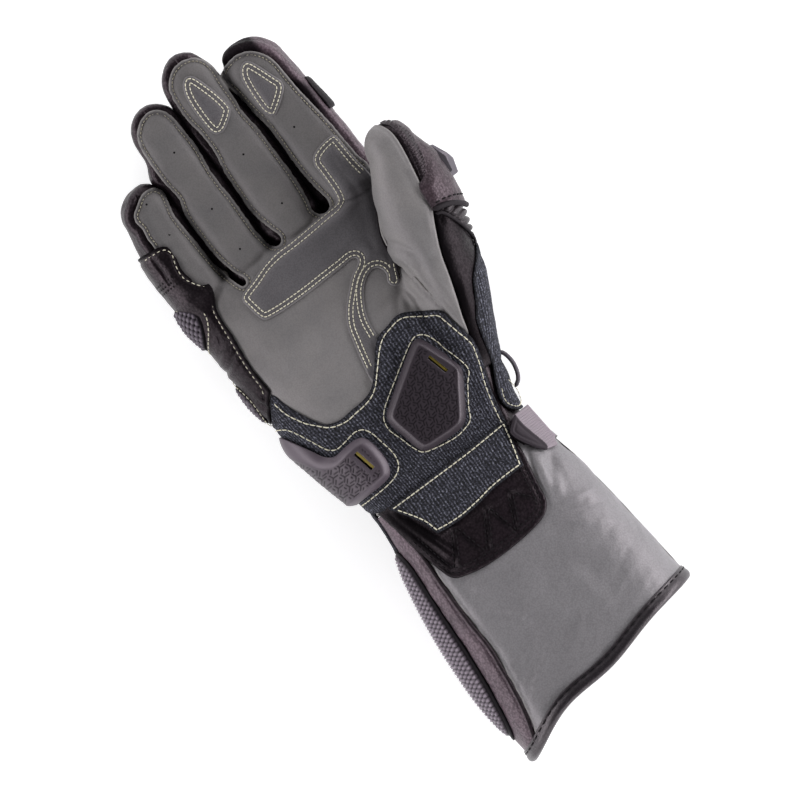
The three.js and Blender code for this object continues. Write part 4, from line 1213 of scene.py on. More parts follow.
# Wrist flap
# A closing flap lies over the strap: a panel of the woven cloth sewn on black leather, whose free end is
# pleated in three Vs and quilted with black thread.
FLAP_EDGE = [
    (-37.5, -36.2), (-37.5, -36.2), (31.8, -36.2), (31.8, -36.2), (32.2, -44), (31.8, -50.5),
    (30.5, -59.3), (29.3, -66.4), (28.3, -73.4), (26.2, -77.2), (22.6, -79.8), (15.4, -81.6), (4.4, -82.9),
    (-4.4, -83.3), (-13.2, -82.9), (-20.3, -81.6), (-25.3, -79.8), (-27.6, -77), (-29.2, -72), (-31, -65),
    (-33.4, -54), (-35, -45),
]
FLAP_CLOTH_EDGE = [
    (-31.6, -36.9), (-31.6, -36.9), (32.3, -34.4), (32.3, -34.4), (31, -42.6), (29.4, -49.6), (28.3, -56),
    (28.3, -56), (19.8, -56.4), (11, -57), (2.2, -58.6), (-6.7, -59.6), (-13.2, -59.6), (-20.4, -58.9),
    (-20.4, -58.9), (-22.4, -52), (-26, -45.4),
]
FLAP_CLOTH_SEAM = [
    (-29.5, -38.3), (-6.7, -37.7), (11, -37.1), (31.2, -35.7), (31.2, -35.7), (30, -42.6), (28.2, -49.6),
    (27, -54.8), (27, -54.8), (19.8, -54.9), (11, -55.6), (2.2, -57.2), (-6.7, -58.2), (-13.2, -58.1),
    (-19.4, -57.4), (-19.4, -57.4), (-21.2, -51.4), (-24.7, -45.2), (-28.2, -39.9),
]
# Pleats: a line, then how high its left bank stands and over what width it runs out
FLAP_PLEATS = [
    (-13.2, -59, -21.8, -77.5, -0.7, 5.0), (-13.2, -59, -8.9, -78.5, 0.6, 6.0),
    (3.8, -60.5, -5.2, -78.8, -0.7, 5.0), (3.8, -60.5, 8.4, -79, 0.6, 6.0),
    (16.5, -61.5, 10, -78, -0.7, 5.0), (16.5, -61.5, 24.4, -72.8, 0.6, 5.0),
    (-33.5, -39, -24.4, -74, 1.3, 2.4), (-30.5, -40.5, -20.2, -71.5, 1.2, 2.2),
    (-28.4, -44, -17.6, -70, 1.0, 2.0),
]
QUILTING = [
    [(-12.4, -61.5), (-20.6, -77.4)], [(-14.6, -61.4), (-23.2, -76)], [(-11.6, -61.6), (-7.4, -77.6)],
    [(4.4, -63), (-4, -78.2)], [(2.2, -62.6), (-6.8, -77.6)], [(5.3, -63), (9.6, -78)],
    [(17, -64), (11.4, -77.4)], [(14.8, -63.6), (8.8, -77.6)], [(18.2, -63.6), (25.2, -71.4)],
]


def pleats(points, table):
    """Folded-over edges. To the left of each line the leather stands higher by a height that runs out over
    a width; to the right it drops at once, or the other way round where the height is below zero."""
    total = np.zeros(points.shape[:-1])
    for x0, y0, x1, y1, height, width in table:
        a, along = np.array([x0, y0]), np.array([x1 - x0, y1 - y0])
        size = np.linalg.norm(along)
        away = points[..., :2] - a
        across = (away[..., 0] * along[1] - away[..., 1] * along[0]) / size * np.sign(height)
        t = (away @ along) / size ** 2
        window = ease(t, -0.02, 0.1) * (1 - ease(t, 0.9, 1.04))
        total += abs(height) * window * ease(across, -0.7, 0.7) * np.exp(-np.clip(across, 0, None) / width)
    return total


def flap_relief(points, distance):
    """The leather's lip and edge seam, the pleats, and the sink of the seams."""
    seams = -0.3 * hill(distance - 2.3, 0.6)
    return (1.0 - 0.6 * rim(distance, 0.8) + seams + pleats(points, FLAP_PLEATS)
            + waves(points, 51, 8, 0.25))


def flap_cloth_relief(points, distance):
    """The cloth's relief, on top of the flap's leather."""
    return cloth_relief(points, distance) + 1.35


def flap_painted_shade(points):
    """Painted shade: a little all over, more along the foot of each pleat and over the folds at the left."""
    feet = furrows(points, [row[:4] + (1.1, 0.75) for row in FLAP_PLEATS])
    return np.clip(0.2 + 0.5 * (1 - ease(points[..., 0], -28, -20)) + feet, 0, 0.95)


flap_cut = closed_line(FLAP_EDGE)
flap = plan_sheet("flap_leather_skin", over_palm, flap_cut, np.arange(-38.5, 33.5, 0.6),
                  np.arange(-84.5, -35, 0.6), flap_relief, wall=0.95, hollow=flap_painted_shade)
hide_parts("flap_leather")
give(flap, black_skin, black_cut_and_gap_shade)
flap_edge = smooth_line(FLAP_EDGE[2:] + FLAP_EDGE[:1])
flap_edge = flap_edge[flap_edge[:, 1] < -56]
flap_lines = [inset_line(flap_edge, away, flap_cut) for away in (2.3, 4.6)]
flap_rows = rows_over(flap_lines + QUILTING, over_palm, flap_relief, flap_cut)
flap_seam = sew("flap_leather_seam", flap_rows, black_thread, pitch=2.4, dash=0.66, radius=0.26, arch=0.25)
flap_cloth_cut = closed_line(FLAP_CLOTH_EDGE)
flap_u = np.arange(-32.5, 33.5, 0.62)
flap_cloth = plan_sheet("flap_cloth_panel", over_palm, flap_cloth_cut, flap_u, np.arange(-60.5, -34, 0.6),
                        flap_cloth_relief, wall=0.9, weave=cloth_of(over_palm, flap_u, -46.0))
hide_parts("flap_cloth")
give(flap_cloth, heel_cloth, heel_cloth)
flap_cloth_rows = rows_over([FLAP_CLOTH_SEAM], over_palm, flap_cloth_relief, flap_cloth_cut)
flap_cloth_seam = sew("flap_cloth_seam", flap_cloth_rows, cream_thread, pitch=2.6, dash=0.84, radius=0.3)


# Cuff
# A wide gauntlet cuff that flares to an open mouth: a front of paler, thinner grey leather, and black leather
# round the sides and back. The seam on the little-finger side is piped.
CUFF_LEFT_EDGE = [
    (-34.5, -37), (-32.6, -50), (-31, -62), (-31.2, -79.6), (-30.8, -100), (-30, -113), (-31, -128),
    (-32.4, -141), (-34.6, -152), (-38.6, -166), (-41, -176),
]
CUFF_BEYOND = [
    (-41, -178), (-41, -178), (90, -178), (90, -178), (90, -36), (90, -36), (-34.5, -36), (-34.5, -36),
]
CUFF_FOLDS = [
    (36, -55, 31, -74, 3.6, 1.4), (42.5, -57, 37, -69, 3.0, -1.5), (33, -52, 29.5, -62, 1.4, -1.0),
    (40, -64, 34.5, -76, 2.2, 0.9), (30, -79, 50, -83, 1.5, 0.55), (33, -83, 49, -90, 1.3, -0.45),
    (28, -86, 44, -98, 2.0, 0.25), (12, -93, 33, -118, 5.0, -0.7), (19, -102, 23, -134, 5.0, 0.6),
    (2, -98, -8, -126, 6.0, 0.5), (-14, -104, -16, -140, 9.0, -0.9), (-29, -74, -26.6, -98, 2.2, 0.3),
    (-26, -84, -12, -94, 2.6, 0.3), (-24, -100, -10, -112, 1.4, -0.3), (-27, -142, -8, -128, 1.6, 0.35),
    (-30, -136, -14, -124, 1.2, -0.3), (-2, -136, 16, -122, 2.4, 0.35), (26, -128, 50, -118, 1.8, 0.2),
    (30, -121, 52, -110, 1.6, -0.18), (44, -96, 52, -104, 1.6, 0.2), (38, -104, 52, -99, 1.4, -0.15),
    (24, -140, 48, -131, 1.6, -0.15), (8, -84, 22, -88, 1.8, 0.35), (-8, -140, 6, -141, 1.6, -0.25),
    (-20, -118, -2, -108, 1.2, 0.25),
]
WRIST = -38.0
MOUTH = -154.0
# The side's leather lies beyond this X and above this height, and laps 2.5 mm over the back's
SIDE_FROM = -14
SIDE_LOWEST = 10.0
SIDE_LAP = 2.5


def hem_at(turn):
    """Where along Y the mouth lies round the section: bowed inwards, a little more across the back."""
    x = body.point(turn, np.full_like(turn, MOUTH))[..., 0]
    return MOUTH + 6.8 * hill(x + 17, 24) + 3.2 * hill(x - 34, 24) + 1.0 * (np.sin(turn) < -0.5)


def over_cuff(turn, part):
    """The cuff's surface at an angle round it and a part, 0 to 1, of the way from the wrist to the
    mouth."""
    return body.point(turn, WRIST + part * (hem_at(turn) - WRIST))


def cuff_sheet(name, inside, turns, parts, relief, **options):
    """A sheet cut from the cuff's surface."""
    return cut_sheet(name, over_cuff, inside, turns, parts, relief, du=0.01, dv=0.004, **options)


def cuff_relief(points, distance):
    """Soft wrinkles, which fade out under the flap, and low waves."""
    open_part = ease(-margin(points, flap_cut), 0, 2.5)
    return (1.3 * furrows(points, CUFF_FOLDS) * open_part + waves(points, 61, 26, 0.9)
            + waves(points, 62, 7, 0.2) + 0.12 * hill(distance - 5, 2.5) - 0.25 * hill(distance - 1.6, 0.8))


cuff_cut = closed_line(CUFF_LEFT_EDGE + CUFF_BEYOND)
cuff_parts = np.linspace(0, 1, 131)
cuff_turns = even(over_cuff, 0.6, -1.5, 0.5, 1.0)
front_turns = even(over_cuff, 0.6, -0.2, 0.95, 0.85)
pale_skin = skin_finish("pale cuff leather", (116, 114, 117), (110, 108, 111), (120, 117, 116), 1300.0, 0.12,
                        0.44, 0.6, 0.35)
cuff_front = cuff_sheet("cuff_front_skin", wrapped(cuff_cut, 23.5), front_turns, cuff_parts, cuff_relief)
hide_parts("cuff_front")
give(cuff_front, pale_skin, grey_cut)


def beside_front(points):
    """Round the sides and back of the cuff: above 24 mm all that is outside the front's outline, with a lap
    of 0.6 mm, and below that height all round."""
    return np.where(points[..., 2] > 24, -margin(points, cuff_cut), 24.2 - points[..., 2] + 0.4)


def cuff_dark_relief(points, distance):
    """A roll of piping along the front's seam, then a long soft swelling."""
    top = ease(points[..., 2], 22, 28)
    roll = (0.9 * hill(distance - 0.9, 0.7) - 0.4 * hill(distance - 2.2, 0.5)
            + 0.3 * hill(distance - 5.2, 2.2))
    return 0.15 + top * roll + waves(points, 63, 11, 0.3)


def piping_painted_shade(points):
    """The piping along the front's seam is black: painted shade takes the side's painted light off it."""
    return 0.9 * hill(margin(points, cuff_cut) + 0.9, 0.9) * ease(points[..., 2], 22, 28)


def side_room(points):
    """The cuff's side, from its own edge in X and above its lowest height."""
    x, _, z = axes(points)
    return np.minimum(beside_front(points), np.minimum(z - SIDE_LOWEST, SIDE_FROM - x))


# Painted light: the cuff's side takes the lighter, lit-looking copy of the black leather
cuff_side = cuff_sheet("cuff_side_skin", side_room, even(over_cuff, 0.6, 0.5, 1.4, 0.66),
                       cuff_parts, cuff_dark_relief, hollow=piping_painted_shade)
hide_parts("cuff_side")
give(cuff_side, painted_lit_skin, black_cut_and_gap_shade)


def cuff_back_relief(points, distance):
    """Low waves, and a dip where the side laps over its edge."""
    lapped = ease(points[..., 2], SIDE_LOWEST - SIDE_LAP, SIDE_LOWEST) * (points[..., 0] < SIDE_FROM)
    return waves(points, 64, 16, 0.4) - 1.4 * lapped


def cuff_back_room(points):
    """The cuff's back and thumb side: where the side's leather lies, only up to the height of its lap."""
    below = SIDE_LOWEST + SIDE_LAP - points[..., 2]
    return np.minimum(beside_front(points), np.where(points[..., 0] < SIDE_FROM, below, -NO_ROOM))


cuff_back = cuff_sheet("cuff_back_skin", cuff_back_room, cuff_turns, cuff_parts[::2], cuff_back_relief)
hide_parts("cuff_back")
give(cuff_back, black_skin, black_cut_and_gap_shade)


# Cuff binding
# A strip of soft dark leather is folded round the mouth's edge and sewn through with one row of dark
# stitches. Its section is given as steps inwards from the edge and outwards from the leather.
binding_profile = np.array([
    (5.0, 0.35), (4.8, 0.95), (4.2, 1.15), (3.5, 0.8), (2.7, 1.25), (1.3, 1.75), (0.0, 1.7), (-1.1, 1.1),
    (-1.6, 0.0),
    (-1.7, -1.0), (-1.2, -2.2), (0, -2.8), (1.8, -2.7), (3.6, -2.2), (4.8, -1.9), (5.0, -1.2)])
mouth_turns = even(over_cuff, 1.0, -1.5, 0.5, 1.5)[:-1]
at_mouth = over_cuff(mouth_turns, np.ones_like(mouth_turns))
mouth_out = -normals_of(over_cuff, mouth_turns, np.full_like(mouth_turns, 0.99), 0.01, 0.004)
from_middle = at_mouth - np.array([8, 0, 25])
outward = mouth_out[:, 2] * from_middle[:, 2] + mouth_out[:, 0] * from_middle[:, 0] > 0
mouth_out *= np.where(outward, 1, -1)[:, None]
inwards = unit(over_cuff(mouth_turns, np.full_like(mouth_turns, 0.97)) - at_mouth)
swell = 1 + 0.1 * waves(at_mouth, 71, 9, 1.0)
ring = (at_mouth[:, None] + inwards[:, None] * binding_profile[None, :, :1]
        + mouth_out[:, None] * (binding_profile[:, 1] * swell[:, None])[..., None])
ring[..., 2] = np.maximum(ring[..., 2], 0.15)
count, around = ring.shape[:2]
grid = np.arange(count * around).reshape(count, around)
turned = np.roll(grid, -1, 0)
quads = np.stack([grid, np.roll(grid, -1, 1), np.roll(turned, -1, 1), turned], -1).reshape(-1, 4)
binding = make_mesh("cuff_binding_strip", ring.reshape(-1, 3), [quads], edge=np.full(count * around, 9.0))
smoother = binding.modifiers.new("smooth", "SUBSURF")
smoother.levels = smoother.render_levels = 1
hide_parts("cuff_binding")
bound_skin = skin_finish("soft dark binding", (30, 26, 30), (22, 19, 22), (30, 26, 30), 1400.0, 0.1, 0.34,
                         0.6, 0.5)
give(binding, bound_skin)
stitch_line = at_mouth + inwards * 3.5 + mouth_out * 1.0
stitch_line = np.vstack([stitch_line, stitch_line[:1]])
stitch_line[:, 2] = np.maximum(stitch_line[:, 2], 0.45)
mouth_rows = [(stitch_line, np.vstack([mouth_out, mouth_out[:1]]))]
mouth_seam = sew("cuff_binding_seam", mouth_rows, black_thread, pitch=4.6, dash=0.66, radius=0.32, arch=0.2)


# Cuff guard
# A long moulded guard on the little-finger side of the cuff. Inside its smooth rim it has columns of round
# studs and then, down the side, close slanted ribs.
GUARD_EDGE = [
    (-70, -57.5), (-44, -56.5), (-42.2, -55), (-40.6, -54.4), (-39.4, -56), (-38.6, -60), (-38.2, -66),
    (-38.5, -74), (-39.1, -90), (-39.6, -110), (-40.4, -124), (-41.6, -136), (-43.4, -149), (-45.4, -156),
    (-47, -158.5), (-70, -160), (-70, -160),
]
guard_cut = closed_line(GUARD_EDGE)


def guard_pattern(points):
    """Studs in staggered columns up to 8 mm from the upper edge, then slanted ribs: the height, 0 to 1, and
    how far the point lies inside the edge."""
    x, y, z = axes(points)
    inside = np.clip(margin(points, guard_cut), 0, None)
    depth = inside + np.clip(36 - z, 0, 40) * 0.5
    stud = np.zeros(inside.shape)
    for shift in (0.0, 0.5):
        u, v = repeated(depth, 3.6, shift), repeated(y, 2.4, shift)
        stud = np.maximum(stud, 1 - np.clip(np.hypot(u * 0.75, v) / 1.1, 0, 1) ** 2)
    rib = 1 - np.abs(np.cos((y + 0.7 * x) / 1.75 * math.pi)) ** 5
    beyond = ease(depth, 7.6, 8.2)
    return (stud * (1 - beyond) + rib * beyond) * ease(inside, 1.2, 1.6), inside


def guard_relief(points, distance):
    """A pillow with a thin groove inside its rim, and the studs and ribs on it."""
    height, inside = guard_pattern(points)
    return 0.9 + 3.6 * ease(inside, -1, 8) - 0.4 * hill(inside - 1.1, 0.35) + 0.8 * height


guard_skin = plain_finish("moulded guard", (128, 117, 129), 0.36, 1600.0, 0.04, 0.06)
guard_turns = even(body.point, -110, 0.5, 1.35, 0.42)
# Painted shade: the guard's moulding is darkened between its studs and ribs and along its rim
guard = cut_sheet("cuff_guard_shell", body.point, wrapped(guard_cut, 12), guard_turns,
                  np.arange(-158, -53, 0.42), guard_relief, wall=1.8, flip=True,
                  hollow=lambda p: 0.97 * (1 - guard_pattern(p)[0]) ** 0.6)
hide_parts("cuff_guard")
give(guard, guard_skin, guard_skin)


# Thumb leather
# The thumb's front is a separate long panel of the same grey skin. It runs from the tip down past the crotch,
# where it lies over the palm in soft folds, to a point beside the heel patch.
THUMB_EDGE = [
    (59.3, 108.6), (62.6, 106.4), (64.9, 102.4), (65.7, 97), (65.2, 89), (64.2, 82), (63, 74.5),
    (62.4, 67), (61, 62), (58.6, 57.2), (56.3, 52.2), (54.1, 47), (51.9, 40.5), (49.6, 31.5), (46.9, 22.5),
    (44.2, 14), (42, 4.5),
]
THUMB_HIDDEN = [
    (40, -2), (37, 6), (35.4, 16), (36.6, 25), (36.4, 31), (35, 37.5), (34, 44), (33, 49.6), (20, 52),
    (0, 56), (0, 56), (0, 118), (0, 118), (40, 118), (55, 113),
]
THUMB_FOLDS = [
    (36, 62.2, 43, 50, 1.5, -1.3), (34.6, 60, 38.4, 46, 1.3, 0.9), (43, 51, 41, 33, 2.2, -0.8),
    (38, 50, 39.6, 28, 1.2, 0.7), (36.4, 46, 38, 30, 0.9, -0.6), (47, 56, 49, 38, 3.0, 0.6),
    (44.2, 38, 45.4, 22, 1.6, 0.6), (41.6, 30, 42.6, 14, 1.1, -0.6), (62.6, 84, 61.4, 68, 1.2, 0.5),
    (60.2, 84, 59, 68, 1.8, -0.5), (58, 64, 53, 50, 1.6, 0.4), (46, 86, 43, 74, 3, 0.5),
]


def over_thumb(turn, y):
    """The thumb's surface, whose lower part runs out on the palm."""
    at = thumb_limb.point(turn, y)
    middle = thumb_limb.section(y)[2]
    palm = palm_height(at[..., 0], at[..., 1])
    upper = ease(at[..., 2], middle, middle + 4) * (1 - ease(y, 62, 72))
    at[..., 2] += (higher_of(at[..., 2], palm, 3.0) - at[..., 2]) * upper
    return at


def thumb_top(x, y):
    """The thumb's upper surface as a function of the plan."""
    low = 1 - ease(y, 62, 72)
    own = thumb_limb.top(x, y)
    return np.stack([x, y, own + (higher_of(own, palm_height(x, y), 3.0) - own) * low], -1)


def thumb_relief(points, distance):
    """A soft edge, the folds, a join that runs out flush with the palm, and a dip where the heel patch laps
    it."""
    x, y = points[..., 0], points[..., 1]
    near = hill(distance - 1.5, 0.7) * ease(y, 30, 60)
    rounded = -0.5 * rim(distance, 0.8)
    inner = ease(41.5 + 0.12 * (y - 20) - x, 0, 2) * (1 - ease(y, 48, 54))
    flush = -1.6 * inner * (1 - ease(distance, 0, 7))
    lapped = -1.7 * ease(margin(points, heel_cut), -2.0, 0.4)
    return (0.75 + rounded - 0.25 * near + furrows(points, THUMB_FOLDS) + waves(points, 81, 18, 0.45) + flush
            + lapped)


thumb_cut = closed_line(THUMB_EDGE + THUMB_HIDDEN)
thumb_stations = thumb_limb.stations(-10, 0.85)


def thumb_room(points):
    """Inside the outline and above a height that rises towards the tip."""
    return np.minimum(margin(points, thumb_cut), points[..., 2] - (24.4 + points[..., 1] * 0.17))


thumb_front_turns = even(over_thumb, 60, -0.5, 1.5, 0.75)
thumb_front = cut_sheet("thumb_front_skin", over_thumb, thumb_room, thumb_front_turns, thumb_stations,
                        thumb_relief, flip=True)
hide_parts("thumb_leather")
give(thumb_front, grey_skin, grey_cut)


def cord(name, line, radius, finish, sides=10):
    """A round cord along a line in space, with domed ends."""
    length = length_along(line)
    steps = np.linspace(0, length[-1], max(int(length[-1] / radius), 6))
    path = read_line(steps, length, line)
    run = unit(np.gradient(path, axis=0))
    side = unit(np.cross(run, np.array([0.1, 0.05, 1.0])))
    up = np.cross(side, run)
    to_end = np.clip(np.minimum(steps, length[-1] - steps) / radius, 0.05, 1)
    girth = np.sqrt(np.clip(1 - (1 - to_end) ** 2, 0, 1))
    angle = np.arange(sides) / sides * 2 * math.pi
    ring = side[:, None] * np.cos(angle)[:, None] + up[:, None] * np.sin(angle)[:, None]
    points = path[:, None] + ring * (radius * girth)[:, None, None]
    index = np.arange(len(path) * sides).reshape(-1, sides)
    after = np.roll(index, -1, 1)
    tube = np.stack([index[:-1], after[:-1], after[1:], index[1:]], -1).reshape(-1, 4)
    return give(make_mesh(name, points.reshape(-1, 3), [tube, index[:1, ::-1], index[-1:]]), finish)


# The seam that joins the thumb to the palm shows as a gap with a raised lip beside it: two thin dark cords
# are painted shade in the gap, and the lip is a cord of the grey skin
for name, line, rise, radius, finish in (
        ("grip_gap_painted_shade", [(35, 55.6), (33.7, 51.8), (32.5, 48.9), (31.6, 46.2), (31, 44.4)], 1.1, 0.42,
         black_cut_and_gap_shade),
        ("thumb_seam_gap_painted_shade", [(43, 81), (40.2, 76.4), (38, 72), (35, 65.3), (33.8, 59), (34, 55)], 0.6, 0.7,
         black_cut_and_gap_shade),
        ("thumb_seam_lip", [(44.2, 81), (41.2, 76.2), (39.1, 72), (36.2, 65.3), (35.1, 59.4)], 1.5, 0.75,
         grey_skin)):
    seam = cord(name, laid(over_palm, smooth_line(line), rise)[0], radius, finish)


# Thumb back
# Black leather wraps the back and outer side of the thumb, with a gathered elastic band beside the tip.
past_thumb = outside_of(thumb_cut, thumb_limb)
THUMB_BACK_FOLDS = [
    (57.6, 58.6, 58.6, 53, 0.8, -0.8), (60, 59, 60.4, 52.6, 0.8, -0.8), (62, 58.6, 61.6, 53.4, 0.7, -0.6),
    (59, 58, 59.6, 53, 0.7, 0.6), (58, 50, 52, 30, 3.0, 0.6), (54, 30, 48, 14, 1.6, 0.5),
    (50, 28, 46, 14, 1.2, -0.5),
]


def thumb_back_relief(points, distance):
    """A dip where the front laps it, a band of gathers beside the tip, the folds and low waves."""
    past, y = past_thumb(points), points[..., 1]
    band = hill(past - 2.6, 2.2) * ease(y, 76, 80) * (1 - ease(y, 99, 103))
    gathers = 0.32 * np.sin(y / 1.55 * 2 * math.pi) * band
    lap = -1.5 * ease(-past, -1.2, -0.1)
    return 0.3 + lap + gathers + 0.8 * band + furrows(points, THUMB_BACK_FOLDS) + waves(points, 82, 12, 0.3)


def thumb_back_room(points):
    """Outside the front's cut, without the part on the palm's side that the hand hides."""
    x, y, z = axes(points)
    middle, _, middle_z = thumb_limb.section(y)[:3]
    hidden = (z > middle_z) & (x < middle) & (y < 70)
    return np.where(hidden, NO_ROOM, past_thumb(points) + 2.4)


def thumb_back_painted_shade(points):
    """Painted shade below the thumb's joint, darkest where the leather comes out from under the front."""
    return (0.6 + 0.35 * (1 - ease(past_thumb(points), 2, 7))) * (1 - ease(points[..., 1], 58, 64))


thumb_turns = even(over_thumb, 80, -1.5, 0.5, 0.9)
thumb_back = cut_sheet("thumb_back_skin", over_thumb, thumb_back_room, thumb_turns, thumb_stations,
                       thumb_back_relief, wall=1.2, flip=True, hollow=thumb_back_painted_shade)
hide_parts("thumb_back")
give(thumb_back, black_skin, black_cut_and_gap_shade)
BAND_EDGE = [
    (63.6, 106), (66.2, 102.6), (67, 97), (66.6, 89), (65.6, 82), (64.2, 75.6), (66.4, 75.2), (69.8, 80),
    (71.4, 88), (71.4, 97), (69.6, 102.6), (66.6, 106),
]
band_cut = closed_line(BAND_EDGE)


def band_relief(points, distance):
    """Gathers 1.35 mm apart that run out at the band's edge."""
    return 1.0 + ease(distance, 0, 1.6) * (0.8 + 0.3 * np.sin(points[..., 1] / 1.35 * 2 * math.pi))


band_turns = even(thumb_limb.point, 90, -0.2, 0.5, 0.4)
band = cut_sheet("thumb_elastic_band", thumb_limb.point, wrapped(band_cut, 30), band_turns,
                 thumb_limb.stations(73, 0.32), band_relief, wall=0.8, flip=True)
give(band, black_skin, black_cut_and_gap_shade)
piping_line = [(60.6, 59.4), (63.4, 57.8), (66.3, 51.2), (67.7, 45.6), (67.9, 40.8), (66.8, 38.2)]
piping = cord("thumb_piping", laid(thumb_top, smooth_line(piping_line), 1.2)[0], 0.75, black_cut_and_gap_shade)


# Thumb cover, ribs and guard
# A thick leather cover is sewn over the thumb's joint, its hem stitched in black. Under its open end the
# thumb bends on puffed ribs, and a hard faceted guard stands on its outer side.
COVER_EDGE = [
    (67.1, 103.6), (69.4, 98), (70.2, 90.3), (68.8, 82.4), (65.6, 76.4), (61.4, 73.4), (60.4, 67),
    (60.2, 61), (60.2, 61), (64, 60.4), (68.6, 59.2), (71.8, 56), (74, 53), (74, 53), (78, 52), (92, 52),
    (92, 52), (92, 104), (92, 104),
]
COVER_SEAM = [(62.2, 63.4), (66.4, 63.2), (70.4, 62), (73.2, 60.4)]
RIBS_EDGE = [
    (63, 60.5), (65.6, 54), (67.3, 47.2), (67.8, 42.2), (72, 42.4), (92, 43), (92, 43), (92, 58), (92, 58),
    (76, 60), (70, 61.5),
]


def cover_relief(points, distance):
    """A thick edge that curls up at the hem, and a soft swelling over the joint."""
    x, y, _ = axes(points)
    hem = 1.1 * hill(y - 55.5, 4.0) * ease(x, 66, 74)
    sewn = -0.35 * hill(y - 61.6 + 0.16 * np.clip(x - 66, 0, 20), 0.9)
    return (1.9 - 0.5 * rim(distance, 0.6) + 1.3 * ease(distance, 0.5, 5) + hem + sewn
            + waves(points, 83, 9, 0.4))


cover_cut = closed_line(COVER_EDGE)
cover_turns = even(thumb_limb.point, 80, -0.3, 0.5, 0.45)
cover = cut_sheet("thumb_cover_skin", thumb_limb.point, wrapped(cover_cut, 22), cover_turns,
                  np.arange(51, 105, 0.5), cover_relief, wall=1.9, flip=True)
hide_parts("thumb_cover")
# Painted light: the cover is black leather given a lighter purple-brown, as its faces look where the lamps
# light them
painted_lit_cover_skin = skin_finish("thumb cover leather with painted light", (62, 51, 57), (48, 40, 44), (24, 20, 23), 950.0, 0.15, 0.42,
                         0.4, 0.9, PURPLE_SHEEN)
give(cover, painted_lit_cover_skin, black_cut_and_gap_shade)


def over_joint(x, y):
    """The thumb's own upper surface as a function of the plan."""
    return np.stack([x, y, thumb_limb.top(x, y)], -1)


HEM = [(60.4, 61.4), (62.4, 61.2), (66, 60.4), (69, 59), (71.4, 57), (72.8, 55.4)]
hem_line = smooth_line(HEM)
hem_rise = 1.7 + 0.9 * np.linspace(0, 1, len(hem_line)) ** 2
hem = cord("thumb_cover_hem", laid(over_joint, hem_line, hem_rise)[0], 1.3, black_cut_and_gap_shade)
cover_rows = rows_over([COVER_SEAM], over_joint, cover_relief, cover_cut)
cover_seam = sew("thumb_cover_seam", cover_rows, black_thread, pitch=3.6, dash=0.72, radius=0.4, arch=0.25)
ribs_cut = closed_line(RIBS_EDGE)


def ribs_relief(points, distance):
    """Puffed ribs 3.25 mm apart, slanted and pinched between."""
    phase = (points[..., 1] - 0.3 * (points[..., 0] - 68)) / 3.25
    puff = np.abs(np.cos(phase * math.pi)) ** 0.6
    return 0.3 + 1.9 * puff * ease(distance, 0.1, 1.6)


ribs_turns = even(over_thumb, 50, -0.2, 0.5, 0.4)
ribs = cut_sheet("thumb_ribs_skin", over_thumb, wrapped(ribs_cut, 24), ribs_turns, np.arange(40, 63, 0.35),
                 ribs_relief, wall=0.9, flip=True)
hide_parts("thumb_ribs")
rib_skin = skin_finish("rib leather", (36, 30, 34), (25, 21, 24), (18, 15, 18), 1300.0, 0.12, 0.42, 0.4, 0.5)
give(ribs, rib_skin, black_cut_and_gap_shade)


def hull_of(name, corners, finish, bevel):
    """The convex hull of a few corners, with bevelled edges."""
    mesh = bpy.data.meshes.new(name)
    build = bmesh.new()
    for corner in (np.array(corners, float) - ZERO) * MM:
        build.verts.new(corner)
    bmesh.ops.convex_hull(build, input=build.verts)
    bmesh.ops.recalc_face_normals(build, faces=build.faces)
    bmesh.ops.dissolve_limit(build, angle_limit=0.02, verts=build.verts, edges=build.edges)
    build.to_mesh(mesh)
    build.free()
    made = add_object(name, mesh)
    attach(made, "root")
    return soften_edges(give(made, finish), bevel)


guard_light = plain_finish("hard grey moulding", (62, 58, 66), 0.4, 1500.0, 0.04, 0.05)
guard_recess_painted_shade = plain_finish("recess of the guard", (30, 28, 33), 0.65, 1500.0, 0.06, 0.05)
thumb_guard = hull_of("thumb_guard_shell", [
    (72.5, 86, 45.5), (75.2, 86.4, 45), (77.8, 85.6, 42), (81.2, 78.6, 41.2), (82.1, 75.6, 38),
    (80.3, 68.9, 38),
    (76.6, 68.6, 44.6), (73, 69, 45.5), (73, 86, 28), (77, 85, 29), (81, 76, 28), (79.3, 69.4, 29),
    (73, 69, 28)],
    guard_light, 0.5)
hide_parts("thumb_guard")
# Painted shade: the panel in the guard's recess is coloured much darker than the moulding
guard_panel = hull_of("thumb_guard_recess", [
    (75.2, 85.2, 45.6), (77.2, 84.7, 43.6), (79.5, 78.2, 43.4), (78.4, 71.0, 43.8), (76.6, 70.6, 45.4),
    (75.4, 78, 46.2), (75.2, 85.2, 42), (77.2, 84.7, 41), (79.5, 78.2, 40.5), (78.4, 71.0, 41),
    (76.6, 70.6, 42),
    (75.4, 78, 42)],
    guard_recess_painted_shade, 0.25)


# Woven strip beside the thumb
# The same cloth covers the outer seam from the thumb's ribs to the wrist, where it ends in a stitched tongue.
STRIP_EDGE = [
    (68.8, 43.2), (67.7, 39.6), (64.2, 34), (57.2, 26.3), (52.3, 17.2), (48.1, 10.2), (45.3, 1),
    (42.5, -8.1), (39, -16.5), (36.4, -23.5), (35.9, -28), (37.4, -32), (40.6, -34.6), (43.6, -34),
    (45, -31), (45, -24), (45.4, -17), (46.4, -12), (60, -9), (92, -8), (92, -8), (92, 45), (92, 45),
]
TONGUE_SEAM = [
    (43.3, -20), (43.9, -26), (43, -31.2), (41, -32.8), (39.2, -31.8), (37.4, -28.8), (37.4, -25.6),
    (39, -21.4),
]


def beside_thumb(turn, y):
    """The outer side of the hand, which passes into that of the thumb."""
    part = ease(y, -30, 4)[..., None]
    return body.point(turn, y) * (1 - part) + thumb_limb.point(turn, y) * part


